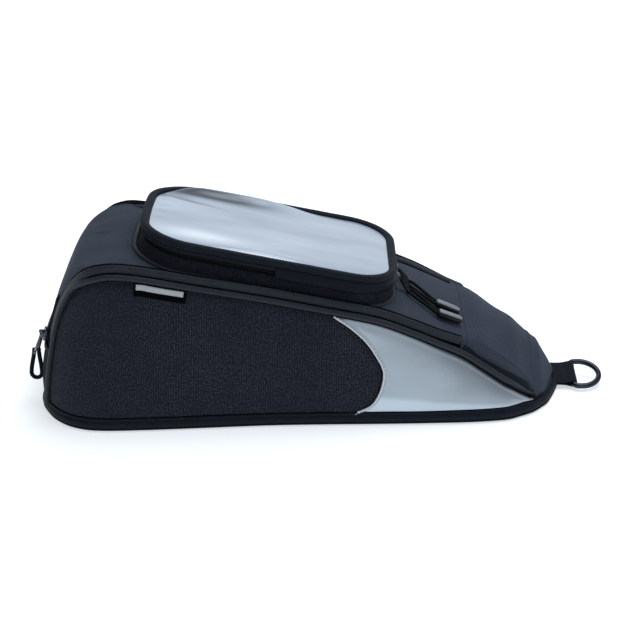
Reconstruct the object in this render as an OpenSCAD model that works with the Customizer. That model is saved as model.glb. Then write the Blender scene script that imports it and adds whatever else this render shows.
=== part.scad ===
// Motorcycle tank bag: wedge-shaped soft case with a zipped clamshell lid,
// a clear-window document pocket on the lid and a D-ring at the nose.
// +X points to the nose, -Y is the right-hand side, +Z is up, base on z = 0.

/* [Body] */
// Length of the bag body, without the nose ring
bag_length = 483; // [430:1:530]
// Width of the base at its widest
bag_width = 198; // [180:1:220]
// Height of the side edge at its highest
bag_height = 153; // [140:1:170]
// Thickness of the fabric and foam-backed panels
panel_t = 2.6; // [2:0.1:3]
// Height of the lower edge of the lid on the rear wall
lid_rear_z = 70; // [64:1:80]

/* [Piping and flaps] */
// Diameter of the side piping
piping_d = 5.2; // [4:0.1:6]
// Width of the rain flap over the main zip
flap_w = 6.2; // [5:0.1:7]
// Height of the binding round the base
binding_h = 7; // [5:0.5:8]

/* [Document pocket] */
// Length of the pocket rim
pocket_length = 235; // [210:1:240]
// Width of the pocket rim
pocket_width = 150; // [130:1:151]
// Corner radius of the pocket rim
pocket_r = 43; // [30:1:48]
// Slope of the pocket, nose down
pocket_slope = 11.4; // [11:0.1:12]
// Width of the window binding
rim_w = 8; // [6:0.5:12]

/* [Hardware] */
// Wire diameter of the nose ring
ring_wire = 5; // [4:0.5:5]
// Width of the nose webbing
webbing_w = 30; // [25:1:30]
// Length of a zip pull plate
plate_l = 17; // [15:1:18]
// Diameter of the pull cords
cord_d = 2.2; // [2:0.1:2.4]

/* [Hidden] */
$fn = 48;

kx = bag_length / 483;
ky = bag_width / 198;
kz = bag_height / 153;
// shift that centres the whole part on x = 0
x_mid = 2.91 + (226 - 257) * (kx - 1) / 2;

// Half outline of the base, rear centre to nose centre: [x, half width]
base_pts = [[-257,0],[-257,30],[-255,48],[-248,64],[-238,79],[-222,92],[-200,98],[-160,97],
            [-110,93],[-50,88],[0,86],[50,85],[85,84],[110,83],[135,82],[155,80],
            [172,77],[184,71],[195,64],[204,55],[211,45],[218,29],[224,12],[226,0]];
// Half outline of the upper edge, matched point by point: [x, half width, z]
edge_pts = [[-222,0,147],[-221,28,147],[-219,48,147],[-213,64,148],[-205,75,150],[-194,80,152],
            [-180,81,153],[-155,80,149],[-105,79,140],[-50,77,129.5],[0,75.5,119],[50,74,107.5],
            [82,73,98],[105,71,88],[128,65,79],[146,61,72.5],[164,57,57],[180,53,43],
            [190,51,28],[198,50,16],[206,44,12],[213,29,11],[219.5,12,10.5],[221.5,0,10.5]];
// Outward swell of the wall at each of those points
swell_pts = [10,10,9,7,5,3,3,3,3,3,3,3,3,3,3,3,3,2,2,1,1,1,1,1];
// Rise of the nose across its middle, by point number
nose_rise = [[14,5],[15,9],[16,14],[17,20],[18,26],[19,33],[20,30],[21,19],[22,8],[23,3]];
// Seam along the top of the side panel: [point number, z]
seam_pts = [[3.05,92],[3.12,103],[3.3,112],[3.7,124],[4.3,132],[5.1,138],[6,140.5],[7,137.5],
            [8,128],[9,117.5],[10,107],[11,95.5],[12,83],[13,71.5],[14,58.5],[15,44.5],
            [16,30.5],[17,20.5],[18,13.5],[18.6,11.5]];
// Centre line of the piping
pipe_pts = [[2.86,11],[2.86,50],[2.86,92],[2.93,104],[3.08,113],[3.45,126.5],[4.1,135],[5.05,141.2],
            [6,143.7],[7,140.8],[8,131.3],[9,120.8],[10,110.3],[11,99.2],[12,87],[13,76],
            [14,63.5],[15,50],[16,36],[17,25.5],[18,17.6],[18.7,14.8]];
// Centre line of the rain flap, from the nose end down the rear corner
flap_pts = [[2.42,74],[2.42,84],[2.42,94],[2.5,105],[2.66,115],[2.92,124],[3.25,131.5],[3.6,137],
            [4.05,142],[4.5,145.8],[5,148.5],[6,150.5],[7,147.4],[8,138],[9,127.6],[10,117.1],
            [11,106],[12,94.2],[13,83.8],[13.85,74.8]];
// Width across which the lid reaches at the rear, by height
reach_pts = [[70,2.15],[93,2.15],[105,2.22],[115,2.38],[124,2.62],[131,2.95],[137,3.3],[142,3.72],[146,4.15],[150,4.6]];
// Edge between the black and the silver side panel: [height fraction, x]
split_pts = [[0,24],[.05,31],[.1,41],[.17,49],[.28,55],[.42,57.5],[.49,57],[.61,52],[.73,45],[.81,36],[.875,27],[.94,18],[1,4]];

function neg_y(p) = len(p) > 2 ? [p[0], -p[1], p[2]] : [p[0], -p[1]];
function ctl(P, i) = let(n = len(P) - 1) i < 0 ? neg_y(P[-i]) : i > n ? neg_y(P[2 * n - i]) : P[i];
function cr(a, b, c, d, f) = 0.5 * (2 * b + (c - a) * f + (2 * a - 5 * b + 4 * c - d) * f * f
                                   + (3 * b - a - 3 * c + d) * f * f * f);
function spl(P, s) = let(i = min(floor(s), len(P) - 2), f = s - i)
    cr(ctl(P, i - 1), ctl(P, i), ctl(P, i + 1), ctl(P, i + 2), f);
function end_spl(P, s) = let(n = len(P) - 1, i = max(0, min(floor(s), n - 1)), f = s - i)
    cr(P[max(0, i - 1)], P[i], P[i + 1], P[min(n, i + 2)], f);
function unit(v) = v / norm(v);
function base_at(s) = let(p = spl(base_pts, s)) [p[0] * kx, p[1] * ky, 0];
function edge_at(s) = let(p = spl(edge_pts, s)) [p[0] * kx, p[1] * ky, p[2] * kz];
function swell_at(s) = lookup(s, [for (i = [0:len(swell_pts) - 1]) [i, swell_pts[i]]]);
// Wall of the bag on the +Y half: s runs round the outline, z is the height
function wall_raw(s, z) = let(q = abs(s), b = base_at(q), e = edge_at(q), v = z / e[2],
    t = base_at(q + 0.05) - base_at(max(q - 0.05, -0.9)), h = unit([-t[1], t[0], 0]),
    w = swell_at(q) * 4 * v * (1 - v), p = b + (e - b) * v + h * w) s < 0 ? neg_y(p) : p;
function wall_n(s, z) = unit(cross(wall_raw(s, z + 0.4) - wall_raw(s, z - 0.4),
                                   wall_raw(s + 0.04, z) - wall_raw(s - 0.04, z)));
function wall(s, z, o = 0) = let(p = wall_raw(s, z) + o * wall_n(s, z)) [p[0], -p[1], p[2]];
function wall_out(s, z) = let(n = wall_n(s, z)) [n[0], -n[1], n[2]];
function seam_z(s) = kz * lookup(s, seam_pts);
function pipe_z(s) = kz * lookup(s, [for (p = pipe_pts) if (p[0] > 3) p]);
function split_s(w) = let(x = lookup(w, split_pts)) x < 50 ? 10 + x / 50 : 11 + (x - 50) / 33;
function lerp(a, b, t) = a + (b - a) * t;

// Closed shell of thickness t under a surface f(u, v); dir = -1 where u x v points inward
module shell(f, nu, nv, t, dir = 1) {
    G = [for (i = [0:nu]) [for (j = [0:nv]) f(i / nu, j / nv)]];
    N = [for (i = [0:nu]) [for (j = [0:nv]) unit(cross(
        G[min(i + 1, nu)][j] - G[max(i - 1, 0)][j], G[i][min(j + 1, nv)] - G[i][max(j - 1, 0)]))]];
    m = (nu + 1) * (nv + 1);
    pts = concat([for (i = [0:nu]) for (j = [0:nv]) G[i][j]],
                 [for (i = [0:nu]) for (j = [0:nv]) G[i][j] - dir * t * N[i][j]]);
    function id(k, i, j) = k * m + i * (nv + 1) + j;
    quads = concat(
        [for (i = [0:nu - 1]) for (j = [0:nv - 1]) [id(0,i,j), id(0,i,j+1), id(0,i+1,j+1), id(0,i+1,j)]],
        [for (i = [0:nu - 1]) for (j = [0:nv - 1]) [id(1,i,j), id(1,i+1,j), id(1,i+1,j+1), id(1,i,j+1)]],
        [for (i = [0:nu - 1]) [id(0,i,0), id(0,i+1,0), id(1,i+1,0), id(1,i,0)]],
        [for (i = [0:nu - 1]) [id(0,i+1,nv), id(0,i,nv), id(1,i,nv), id(1,i+1,nv)]],
        [for (j = [0:nv - 1]) [id(0,0,j+1), id(0,0,j), id(1,0,j), id(1,0,j+1)]],
        [for (j = [0:nv - 1]) [id(0,nu,j), id(0,nu,j+1), id(1,nu,j+1), id(1,nu,j)]]);
    tris = [for (q = quads) each (dir > 0
        ? [[q[0], q[1], q[2]], [q[0], q[2], q[3]]]
        : [[q[2], q[1], q[0]], [q[3], q[2], q[0]]])];
    polyhedron(points = pts, faces = tris, convexity = 8);
}

// Body through rings of points that turn anticlockwise about the way forward
module rings(R, closed = false) {
    n = len(R);
    m = len(R[0]);
    last = closed ? n - 1 : n - 2;
    side = [for (k = [0:last]) for (j = [0:m - 1]) let(a = k * m + j, b = k * m + (j + 1) % m,
        c = ((k + 1) % n) * m + (j + 1) % m, d = ((k + 1) % n) * m + j) each [[a, d, c], [a, c, b]]];
    caps = closed ? [] : concat([for (j = [1:m - 2]) [0, j, j + 1]],
                                [for (j = [1:m - 2]) [(n - 1) * m, (n - 1) * m + j + 1, (n - 1) * m + j]]);
    polyhedron(points = [for (r = R) each r], faces = concat(side, caps), convexity = 8);
}

// Flat strip of width w and thickness t, lying o above the wall along path P of [s, z]
module strip(P, w, t, o, closed = false) {
    n = len(P);
    Q = [for (p = P) wall(p[0], p[1])];
    rings([for (k = [0:n - 1]) let(a = closed ? Q[(k + n - 1) % n] : Q[max(k - 1, 0)],
        b = closed ? Q[(k + 1) % n] : Q[min(k + 1, n - 1)], T = unit(b - a),
        N0 = wall_out(P[k][0], P[k][1]), C = unit(cross(N0, T)), N = cross(T, C))
        [Q[k] + o * N - w / 2 * C, Q[k] + o * N + w / 2 * C,
         Q[k] + (o + t) * N + w / 2 * C, Q[k] + (o + t) * N - w / 2 * C]], closed);
}

// Round tube of diameter d through points Q, with m sides
module tube(Q, d, m = 8, side = [0, 0, 1]) {
    n = len(Q);
    rings([for (k = [0:n - 1]) let(T = unit(Q[min(k + 1, n - 1)] - Q[max(k - 1, 0)]),
        C = unit(cross(side, T)), N = cross(T, C))
        [for (j = [0:m - 1]) Q[k] + d / 2 * (cos(360 * j / m) * C + sin(360 * j / m) * N)]]);
}

module place() translate([-x_mid, 0, 0]) children();
module left_hand() mirror([0, 1, 0]) children();

// Base
module base_shape(k) polygon(concat(
    [for (i = [0:46]) let(p = base_at(i / 2)) [p[0] + 0, -p[1]] * k],
    [for (i = [45:-1:1]) let(p = base_at(i / 2)) [p[0] + 0, p[1]] * k]));
magnet_xy = [for (x = [-190, -75, 30, 130]) for (y = [-1, 1]) [x * kx, y * (x > 100 ? 38 : 52) * ky]];
module base_panel() color("#17181c") place() linear_extrude(3) base_shape(0.992);
module base_stiffener() color("#2a2b2e") place() difference() {
    translate([0, 0, 3.3]) linear_extrude(2.4) base_shape(0.93);
    for (p = magnet_xy) translate([p[0], p[1], 2]) cylinder(d = 31, h = 6);
}
module base_magnets() color("#8b8d90") place()
    for (p = magnet_xy) translate([p[0], p[1], 3.3]) cylinder(d = 30, h = 2.2);
module base_binding() color("#101114") place()
    strip([for (i = [0:91]) let(s = i / 2) s <= 23 ? [s, binding_h / 2 + 1] : [s - 46, binding_h / 2 + 1]],
          binding_h, 1.8, 0.3, true);

// Side walls
module side_right() shell(function(u, w) let(s = lerp(3.08, split_s(w) - 0.006, pow(u, 1.5)))
    wall(s, lerp(9, seam_z(s), w)), 24, 5, panel_t);
module silver_right() shell(function(u, w) let(s = lerp(split_s(w) + 0.006, 18.2, u))
    wall(s, lerp(9, seam_z(s), w)), 18, 5, panel_t);
module foam_right() shell(function(u, w) let(s = lerp(3.7, 14.5, u))
    wall(s, lerp(12, seam_z(s) - 5, w), -panel_t - 0.5), 18, 3, 4.5);
module piping_half() tube([for (i = [0:66]) let(p = end_spl(pipe_pts, i * 21 / 66))
    wall(p[0], p[1] * kz, piping_d / 2 + 0.3)], piping_d, 6);
module side_panel_right() color("#191a20") place() side_right();
module side_panel_left() color("#191a20") place() left_hand() side_right();
module silver_panel_right() color("#a9b3b8") place() silver_right();
module silver_panel_left() color("#a9b3b8") place() left_hand() silver_right();
module side_foam_right() color("#4a4a4d") place() foam_right();
module side_foam_left() color("#4a4a4d") place() left_hand() foam_right();
module piping_right() color("#0e0f12") place() piping_half();
module piping_left() color("#0e0f12") place() left_hand() piping_half();
module rear_panel() color("#17181d") place()
    shell(function(u, w) wall(lerp(-2.6, 2.6, u), lerp(9, (lid_rear_z - 9) , w)), 20, 4, panel_t);
module rear_stiffener() color("#303135") place()
    shell(function(u, w) wall(lerp(-2.3, 2.3, u), lerp(11, lid_rear_z - 16, w), -panel_t - 0.5), 14, 3, 1.6);
module nose_cap() color("#23242a") place()
    shell(function(u, v) let(t = 2 * v - 1, q = min(1, abs(t) / 0.86), s = lerp(14.2, 22.6, u),
        e = edge_at(s), low = max(9.2, pipe_z(s) + piping_d / 2 + 0.8),
        side = wall(s, max(min(low, e[2] - 0.8), 9.2) + (e[2] - max(min(low, e[2] - 0.8), 9.2)) * (1 - max(0, abs(t) - 0.86) / 0.14)))
        abs(t) <= 0.86 ? [e[0], sign(t) * q * e[1], e[2] + lookup(s, nose_rise) * kz * (1 - pow(q, 2.2))]
                       : [side[0], sign(t) * abs(side[1]), side[2]], 20, 28, 2.4);
module side_label() color("#c9c9c6") place()
    strip([for (i = [0:8]) let(s = lerp(6.8, 7.78, i / 8)) [s, seam_z(s) - 6]], 12, 0.8, 0.4);

// Zip halves: each runs from the nose round the rear corner and across the back
zip_low = concat([for (i = [0:40]) let(s = lerp(13.9, 3.5, i / 40)) [s, pipe_z(s) / kz - 1.2]],
    [[3.16,112],[2.98,103],[2.9,92],[2.9,80],[2.88,70],[2.78,63.5],[2.6,60],[2.3,58],[1.8,57.5],[1.2,57.5],[0.6,57.5],[0,57.5]]);
zip_up = concat([for (i = [0:34]) let(s = lerp(13.8, 4.6, i / 34)) [s, lookup(s, [for (p = flap_pts) if (p[0] > 3) p])]],
    [[4.05,141],[3.6,135.5],[3.2,129],[2.85,121],[2.62,112],[2.5,102],[2.46,92],[2.45,84],[2.4,78],[2.25,74.5],[1.8,73.2],[1.2,73],[0.6,73],[0,73]]);
module tape(P) { n = len(P); strip([for (i = [0:2 * n - 2]) let(p = i < n ? P[i] : [-P[2 * n - 2 - i][0], P[2 * n - 2 - i][1]])
    [p[0], p[1] * kz]], 4.4, 0.8, -panel_t - 1.5); }
module zip_tape_lower() color("#0c0c0e") place() tape(zip_low);
module zip_tape_upper() color("#0c0c0e") place() tape(zip_up);

// Lid
rear_edge = [[0,-222],[28,-221],[48,-219],[64,-213],[75,-205],[80,-194],[81,-180]];
side_edge = [for (i = [6:14]) edge_pts[i]];
hinge_x = 130.5 * kx;
hinge_z = 86.5 * kz;
function edge_w(x) = lookup(x, [for (p = side_edge) [p[0] * kx, p[1] * ky]]);
function edge_z(x) = lookup(x, concat([[-222 * kx, 147 * kz], [-205 * kx, 150 * kz]], [for (p = side_edge) [p[0] * kx, p[2] * kz]]));
function top_pt(u, t, inset, down, x1) = let(y0 = abs(t) * (81 * ky - inset),
    x = lerp(lookup(y0 / ky, rear_edge) * kx + inset, x1, u), w = edge_w(x), y = t * (w - inset))
    [x, y, edge_z(x) + 4 * (1 - pow(y / w, 2)) - down];
module top_panel() color("#212228") place()
    shell(function(u, v) top_pt(u, 2 * v - 1, 4.9, 0, hinge_x - 1), 24, 12, panel_t);
module top_foam() color("#4a4a4d") place()
    shell(function(u, v) top_pt(u, 2 * v - 1, 14, panel_t + 0.9, hinge_x - 14), 14, 6, 4);
module lid_rear() color("#1c1d23") place()
    shell(function(u, w) let(z = lerp(lid_rear_z, 148, w), r = lookup(z, reach_pts) - 0.02, s = lerp(-r, r, u))
        wall(s, lerp(lid_rear_z, edge_at(abs(s))[2] - 0.3, w)), 20, 8, panel_t);
module flap_half() strip([for (i = [0:60]) let(p = end_spl(flap_pts, i * 19 / 60)) [p[0], p[1] * kz]], flap_w, 1.5, 0.4);
module zip_flap_right() color("#15161a") place() flap_half();
module zip_flap_left() color("#15161a") place() left_hand() flap_half();

// Document pocket, in its own sloping frame
module on_pocket() place() translate([-49 * kx, 0, 133 * kz + 0.6]) rotate([0, pocket_slope, 0]) children();
module slab(dl, h) { l = pocket_length - dl; w = pocket_width - dl; r = pocket_r - dl / 2;
    linear_extrude(h) union() { square([l - 2 * r, w], center = true); square([l, w - 2 * r], center = true);
        for (x = [-1, 1]) for (y = [-1, 1]) translate([x * (l / 2 - r), y * (w / 2 - r)]) circle(r = r, $fn = 96); } }
module band(dl, t, h) difference() { slab(dl, h); translate([0, 0, -1]) slab(dl + 2 * t, h + 2); }
module pocket_gusset() color("#15161a") on_pocket() band(3, 1.8, 9);
module pocket_zip_lower() color("#0c0c0e") on_pocket() translate([0, 0, 3]) band(8, 1, 6.1);
module pocket_zip_upper() color("#0c0c0e") on_pocket() translate([0, 0, 9.5]) band(8, 1, 6);
module pocket_wall() color("#191a1f") on_pocket() translate([0, 0, 9.4]) band(2, 1.8, 7.8);
module pocket_rim() color("#141519") on_pocket() translate([0, 0, 17.4]) band(0, rim_w, 6.4);
module clear_window() color("#b6c2c8") on_pocket() translate([0, 0, 20]) slab(2 * rim_w + 0.6, 0.8);

// Zip slider: y along the zip, z away from the bag; the pin and its lugs are turned by turn
pin_z = 4.2;
module slider_body(turn = 0) {
    translate([-4.4, -6.5, 0]) cube([8.8, 13, 1.8]);
    rotate([0, 0, turn]) {
        for (x = [-3.7, 2.3]) translate([x, -2, 1]) cube([1.4, 4, 5]);
        translate([-3.7, 0, pin_z]) rotate([0, 90, 0]) cylinder(d = 1.8, h = 7.4);
    }
}
// Pull plate about the pin: reaches along -y, turned by a about the pin
module pull_plate(a, l) rotate([a, 0, 0]) difference() {
    union() {
        translate([-2, 0, 0]) rotate([0, 90, 0]) cylinder(d = 3.4, h = 4);
        translate([-2.1, -l, -0.6]) cube([4.2, l - 1, 1.2]);
        translate([0, -l, -0.6]) cylinder(d = 4.8, h = 1.2);
    }
    translate([-3, 0, 0]) rotate([0, 90, 0]) cylinder(d = 1.92, h = 6);
    translate([0, -l + 0.2, -2]) cylinder(d = 2.8, h = 4);
}
function frame_of(o, y, z) = let(b = unit(y), c = unit(z - b * (z * b)), a = cross(b, c))
    [[a[0], b[0], c[0], o[0]], [a[1], b[1], c[1], o[1]], [a[2], b[2], c[2], o[2]], [0, 0, 0, 1]];
function put(M, p) = [for (r = [0:2]) M[r][0] * p[0] + M[r][1] * p[1] + M[r][2] * p[2] + M[r][3]];
// A point l along a pull plate turned by turn and a on slider frame M
function on_plate(M, turn, a, l) = put(M, [cos(a) * l * sin(turn), -cos(a) * l * cos(turn), pin_z - sin(a) * l]);
function plate_n(M, turn, a) = unit(put(M, [sin(a) * sin(turn), -sin(a) * cos(turn), cos(a)]) - put(M, [0, 0, 0]));

// Main zip sliders: one on the rear corner, one on the run across the back
side_lo = wall(2.0, 74 * kz, 3);
side_hi = wall(2.0, 112 * kz, 3);
side_M = frame_of(side_lo + 0.9 * wall_out(2.0, 90 * kz), side_hi - side_lo, wall_out(2.0, 90 * kz));
rear_M = frame_of(wall(1.15, 65.5 * kz, 1.2), [0, 1, 0], wall_out(1.15, 65.5 * kz));
rear_a = -10;
module main_slider_side() color("#5a5d62") place() multmatrix(side_M) slider_body();
module main_pull_side() color("#5a5d62") place() multmatrix(side_M) translate([0, 0, pin_z]) pull_plate(-4, plate_l + 3);
module main_slider_rear() color("#5a5d62") place() multmatrix(rear_M) slider_body(-90);
module main_pull_rear() color("#5a5d62") place() multmatrix(rear_M) rotate([0, 0, -90]) translate([0, 0, pin_z]) pull_plate(rear_a, plate_l);

// Pocket sliders: both on the front run of the pocket zip
function pocket_at(p) = [-49 * kx + p[0] * cos(pocket_slope) + p[2] * sin(pocket_slope), p[1],
                         133 * kz + 0.6 - p[0] * sin(pocket_slope) + p[2] * cos(pocket_slope)];
pocket_n = [cos(pocket_slope), 0, -sin(pocket_slope)];
far_M = frame_of(pocket_at([pocket_length / 2 - 0.6, 2, 9.3]), [0, 1, 0], pocket_n);
near_M = frame_of(pocket_at([pocket_length / 2 - 0.6, -18, 9.3]), [0, 1, 0], pocket_n);
pull_turn = 74;
pull_a = -46;
module pocket_slider_far() color("#6b6e73") place() multmatrix(far_M) slider_body(pull_turn);
module pocket_slider_near() color("#6b6e73") place() multmatrix(near_M) slider_body(pull_turn);
module pocket_pull(M) multmatrix(M) rotate([0, 0, pull_turn]) translate([0, 0, pin_z]) pull_plate(pull_a, plate_l);
module pocket_pull_far() color("#8a8d92") place() pocket_pull(far_M);
module pocket_pull_near() color("#8a8d92") place() pocket_pull(near_M);

// Moulded tips, lying on the lid: [rear end, front end] on the lid surface
tip_l = 24;
tip_w = 9.6;
tip_h = 4.6;
function lid_z(x, y) = edge_z(x) + 4 * (1 - pow(y / edge_w(x), 2));
function tip_end(x, y) = [x * kx, y * ky, lid_z(x * kx, y * ky) + 1.7];
far_tip = frame_of(tip_end(105, -29), tip_end(127, -31) - tip_end(105, -29), [0, 0, 1]);
near_tip = frame_of(tip_end(106, -48), tip_end(128, -47) - tip_end(106, -48), [0, 0, 1]);
module tip(M) multmatrix(M) difference() {
    union() {
        translate([-tip_w / 2, 0, 0]) cube([tip_w, tip_l - tip_w / 2, tip_h]);
        translate([0, tip_l - tip_w / 2, 0]) cylinder(d = tip_w, h = tip_h);
    }
    for (x = [-2.4, 2.4]) translate([x, -1, tip_h / 2]) rotate([-90, 0, 0]) cylinder(d = cord_d + 0.4, h = 6);
}
module pocket_tip_far() color("#7d8084") place() tip(far_tip);
module pocket_tip_near() color("#7d8084") place() tip(near_tip);

// Pull cord: out of one hole of the tip, through the eye of the plate and back to the other hole
loop_r = 4.8;
function drop(A, B, side, w0, r, n) = let(L = norm(B - A), T = (B - A) / L, S = unit(side - T * (side * T)), m = L - r)
    concat([for (i = [0:n]) let(f = i / n) A + T * m * f + S * (w0 + (r - w0) * (1 - cos(180 * f)) / 2)],
           [for (i = [1:5]) A + T * (m + r * sin(30 * i)) + S * r * cos(30 * i)],
           [for (i = [0:n]) let(f = 1 - i / n) A + T * m * f - S * (w0 + (r - w0) * (1 - cos(180 * f)) / 2)]);
function tip_cord(P, M) = let(A = put(P, [0, 1.5, tip_h / 2]), B = on_plate(M, pull_turn, pull_a, plate_l - 0.2),
    S = put(P, [1, 1.5, tip_h / 2]) - A) drop(A, B, S, 2.4, loop_r, 6);
far_cord = tip_cord(far_tip, far_M);
near_cord = tip_cord(near_tip, near_M);
rear_top = on_plate(rear_M, -90, rear_a, plate_l - 0.2);
rear_cord = drop(rear_top + [-0.6, 0, 0], rear_top + [-2.6, 0, -30], [1, 0, 0], 1.85, 5.2, 6);
module pocket_cord_far() color("#0d0d0f") place() tube(far_cord, cord_d, 8, [0.3, 0.2, 1]);
module pocket_cord_near() color("#0d0d0f") place() tube(near_cord, cord_d, 8, [0.3, 0.2, 1]);
module main_cord_rear() color("#0d0d0f") place() tube(rear_cord, 3.4, 8, [0, 1, 0]);

// Nose webbing and ring, twisted a little towards the right-hand side
ring_r = 18;
ring_leg = 8;
module at_nose() place() translate([226 * kx + 15, 0, 8.6]) rotate([14, 0, 0]) children();
module nose_webbing() color("#17181b") at_nose() rotate([90, 0, 0])
    translate([0, 0, -webbing_w / 2]) linear_extrude(webbing_w) difference() {
        union() { circle(r = ring_wire / 2 + 1.5); translate([-12.2, -1.4]) square([12.2, 2.8]); }
        circle(r = ring_wire / 2 + 0.08);
    }
module d_ring() color("#3b3d42") at_nose() {
    translate([0, ring_r, 0]) rotate([90, 0, 0]) cylinder(d = ring_wire, h = 2 * ring_r);
    for (y = [-ring_r, ring_r]) translate([0, y, 0]) {
        sphere(d = ring_wire);
        rotate([0, 90, 0]) cylinder(d = ring_wire, h = ring_leg);
    }
    translate([ring_leg, 0, 0]) rotate([0, 0, -90]) rotate_extrude(angle = 180) translate([ring_r, 0]) circle(d = ring_wire);
}

base_panel();
base_stiffener();
base_magnets();
base_binding();
side_panel_right();
side_panel_left();
silver_panel_right();
silver_panel_left();
side_foam_right();
side_foam_left();
piping_right();
piping_left();
rear_panel();
rear_stiffener();
nose_cap();
nose_webbing();
side_label();
zip_tape_lower();
top_panel();
top_foam();
lid_rear();
zip_flap_right();
zip_flap_left();
zip_tape_upper();
pocket_gusset();
pocket_zip_lower();
pocket_rim();
clear_window();
pocket_wall();
pocket_zip_upper();
main_slider_side();
main_pull_side();
main_slider_rear();
main_pull_rear();
main_cord_rear();
pocket_slider_far();
pocket_pull_far();
pocket_cord_far();
pocket_tip_far();
pocket_slider_near();
pocket_pull_near();
pocket_cord_near();
pocket_tip_near();
d_ring();
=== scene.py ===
import bpy, bmesh, math
import numpy as np
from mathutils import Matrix, Vector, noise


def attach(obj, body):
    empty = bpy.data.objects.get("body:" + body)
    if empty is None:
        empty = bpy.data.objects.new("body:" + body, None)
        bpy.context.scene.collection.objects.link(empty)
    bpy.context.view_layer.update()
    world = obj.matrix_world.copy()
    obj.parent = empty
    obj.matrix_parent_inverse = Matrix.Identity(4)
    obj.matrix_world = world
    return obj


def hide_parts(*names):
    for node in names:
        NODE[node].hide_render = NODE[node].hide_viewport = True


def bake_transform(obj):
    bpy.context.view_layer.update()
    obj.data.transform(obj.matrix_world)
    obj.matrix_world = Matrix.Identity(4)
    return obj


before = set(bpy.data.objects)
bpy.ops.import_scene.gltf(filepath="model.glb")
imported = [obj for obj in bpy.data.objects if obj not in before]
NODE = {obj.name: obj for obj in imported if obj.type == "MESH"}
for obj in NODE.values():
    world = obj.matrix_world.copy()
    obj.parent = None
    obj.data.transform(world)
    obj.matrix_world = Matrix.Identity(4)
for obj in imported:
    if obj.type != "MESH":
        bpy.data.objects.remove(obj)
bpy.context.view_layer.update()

# All shapes below are in mm in the design frame; XM moves them to the part frame.
XM = 2.91
PI = math.pi

# ---------------------------------------------------------------- camera first
scene = bpy.context.scene
scene.view_settings.view_transform = "Standard"
cam_data = bpy.data.cameras.new("camera")
cam_data.lens, cam_data.sensor_width = 83.475, 36.0
cam = bpy.data.objects.new("camera", cam_data)
scene.collection.objects.link(cam)
cam.location = (-XM / 1000, -1.27495, 0.64334)
cam.rotation_euler = (math.radians(65.6), 0, 0)
cam_data.clip_start, cam_data.clip_end = 0.01, 50
scene.camera = cam

# ---------------------------------------------------------------- design curves
BASE = [[-257,0],[-257,30],[-255,48],[-248,64],[-238,79],[-222,92],[-200,98],[-160,97],
        [-110,93],[-50,88],[0,86],[50,85],[85,84],[110,83],[135,82],[155,80],
        [172,77],[184,71],[195,64],[204,55],[211,45],[218,29],[224,12],[226,0]]
EDGE = [[-222,0,147],[-221,28,147],[-219,48,147],[-213,64,148],[-205,75,150],[-194,80,152],
        [-180,81,153],[-155,80,149],[-105,79,140],[-50,77,129.5],[0,75.5,119],[50,74,107.5],
        [82,73,98],[105,71,88],[128,65,79],[146,61,72.5],[164,57,57],[180,53,43],
        [190,51,28],[198,50,16],[206,44,12],[213,29,11],[219.5,12,10.5],[221.5,0,10.5]]
SWELL = [10,10,9,7,5,3,3,3,3,3,3,3,3,3,3,3,3,2,2,1,1,1,1,1]
NOSE_RISE = [[13.8,3.0],[14,3.1],[14.5,4.4],[15,7.0],[16,13.5],[17,20.5],[18,27.5],[19,33.5],[20,31],[21,20],[22,9],[23,3]]
SEAM = [[3.05,92],[3.12,103],[3.3,112],[3.7,124],[4.3,132],[5.1,138],[6,140.5],[7,137.5],
        [8,128],[9,117.5],[10,107],[11,95.5],[12,83],[13,71.5],[14,58.5],[15,44.5],
        [16,30.5],[17,20.5],[18,13.5],[18.6,11.5]]
PIPE = [[2.86,11],[2.86,50],[2.86,92],[2.93,104],[3.08,113],[3.45,126.5],[4.1,135],[5.05,141.2],
        [6,143.7],[7,140.8],[8,131.3],[9,120.8],[10,110.3],[11,99.2],[12,87],[13,76],
        [14,63.5],[15,50],[16,36],[17,25.5],[18,17.6],[18.7,14.8]]
FLAP = [[2.42,74],[2.42,84],[2.42,94],[2.5,105],[2.66,115],[2.92,124],[3.25,131.5],[3.6,137],
        [4.05,142],[4.5,145.8],[5,148.5],[6,150.5],[7,147.4],[8,138],[9,127.6],[10,117.1],
        [11,106],[12,94.2],[13,83.8],[13.85,74.8]]
SPLIT = [[0,24],[.042,33],[.085,42.5],[.153,48.7],[.237,52],[.32,54],[.42,55.4],[.51,55.4],[.61,52.3],[.72,45.6],[.81,38],[.875,30],[.94,21],[1,8]]


def unit(v):
    v = np.asarray(v, float)
    return v / np.maximum(np.linalg.norm(v, axis=-1, keepdims=True), 1e-12)


def extended(P):
    neg = lambda p: [p[0], -p[1]] + list(p[2:])
    n = len(P) - 1
    return np.array([neg(P[2]), neg(P[1])] + [list(p) for p in P] + [neg(P[n - 1]), neg(P[n - 2])], float)


def catmull(a, b, c, d, f):
    return 0.5 * (2 * b + (c - a) * f + (2 * a - 5 * b + 4 * c - d) * f * f + (3 * b - a - 3 * c + d) * f ** 3)


def spl(E, s):
    s = np.asarray(s, float)
    i = np.minimum(np.floor(s), len(E) - 6).astype(int)
    f = (s - i)[..., None]
    j = i + 2
    return catmull(E[j - 1], E[j], E[j + 1], E[j + 2], f)


def end_spl(P, s):
    P = np.array(P, float)
    s = np.asarray(s, float)
    n = len(P) - 1
    i = np.clip(np.floor(s), 0, n - 1).astype(int)
    f = (s - i)[..., None]
    return catmull(P[np.maximum(0, i - 1)], P[i], P[i + 1], P[np.minimum(n, i + 2)], f)


def look(x, table):
    t = np.array(table, float)
    return np.interp(x, t[:, 0], t[:, 1])


BASE_E, EDGE_E = extended(BASE), extended(EDGE)


def base_at(s):
    p = spl(BASE_E, s)
    return np.concatenate([p, np.zeros(p.shape[:-1] + (1,))], -1)


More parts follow.
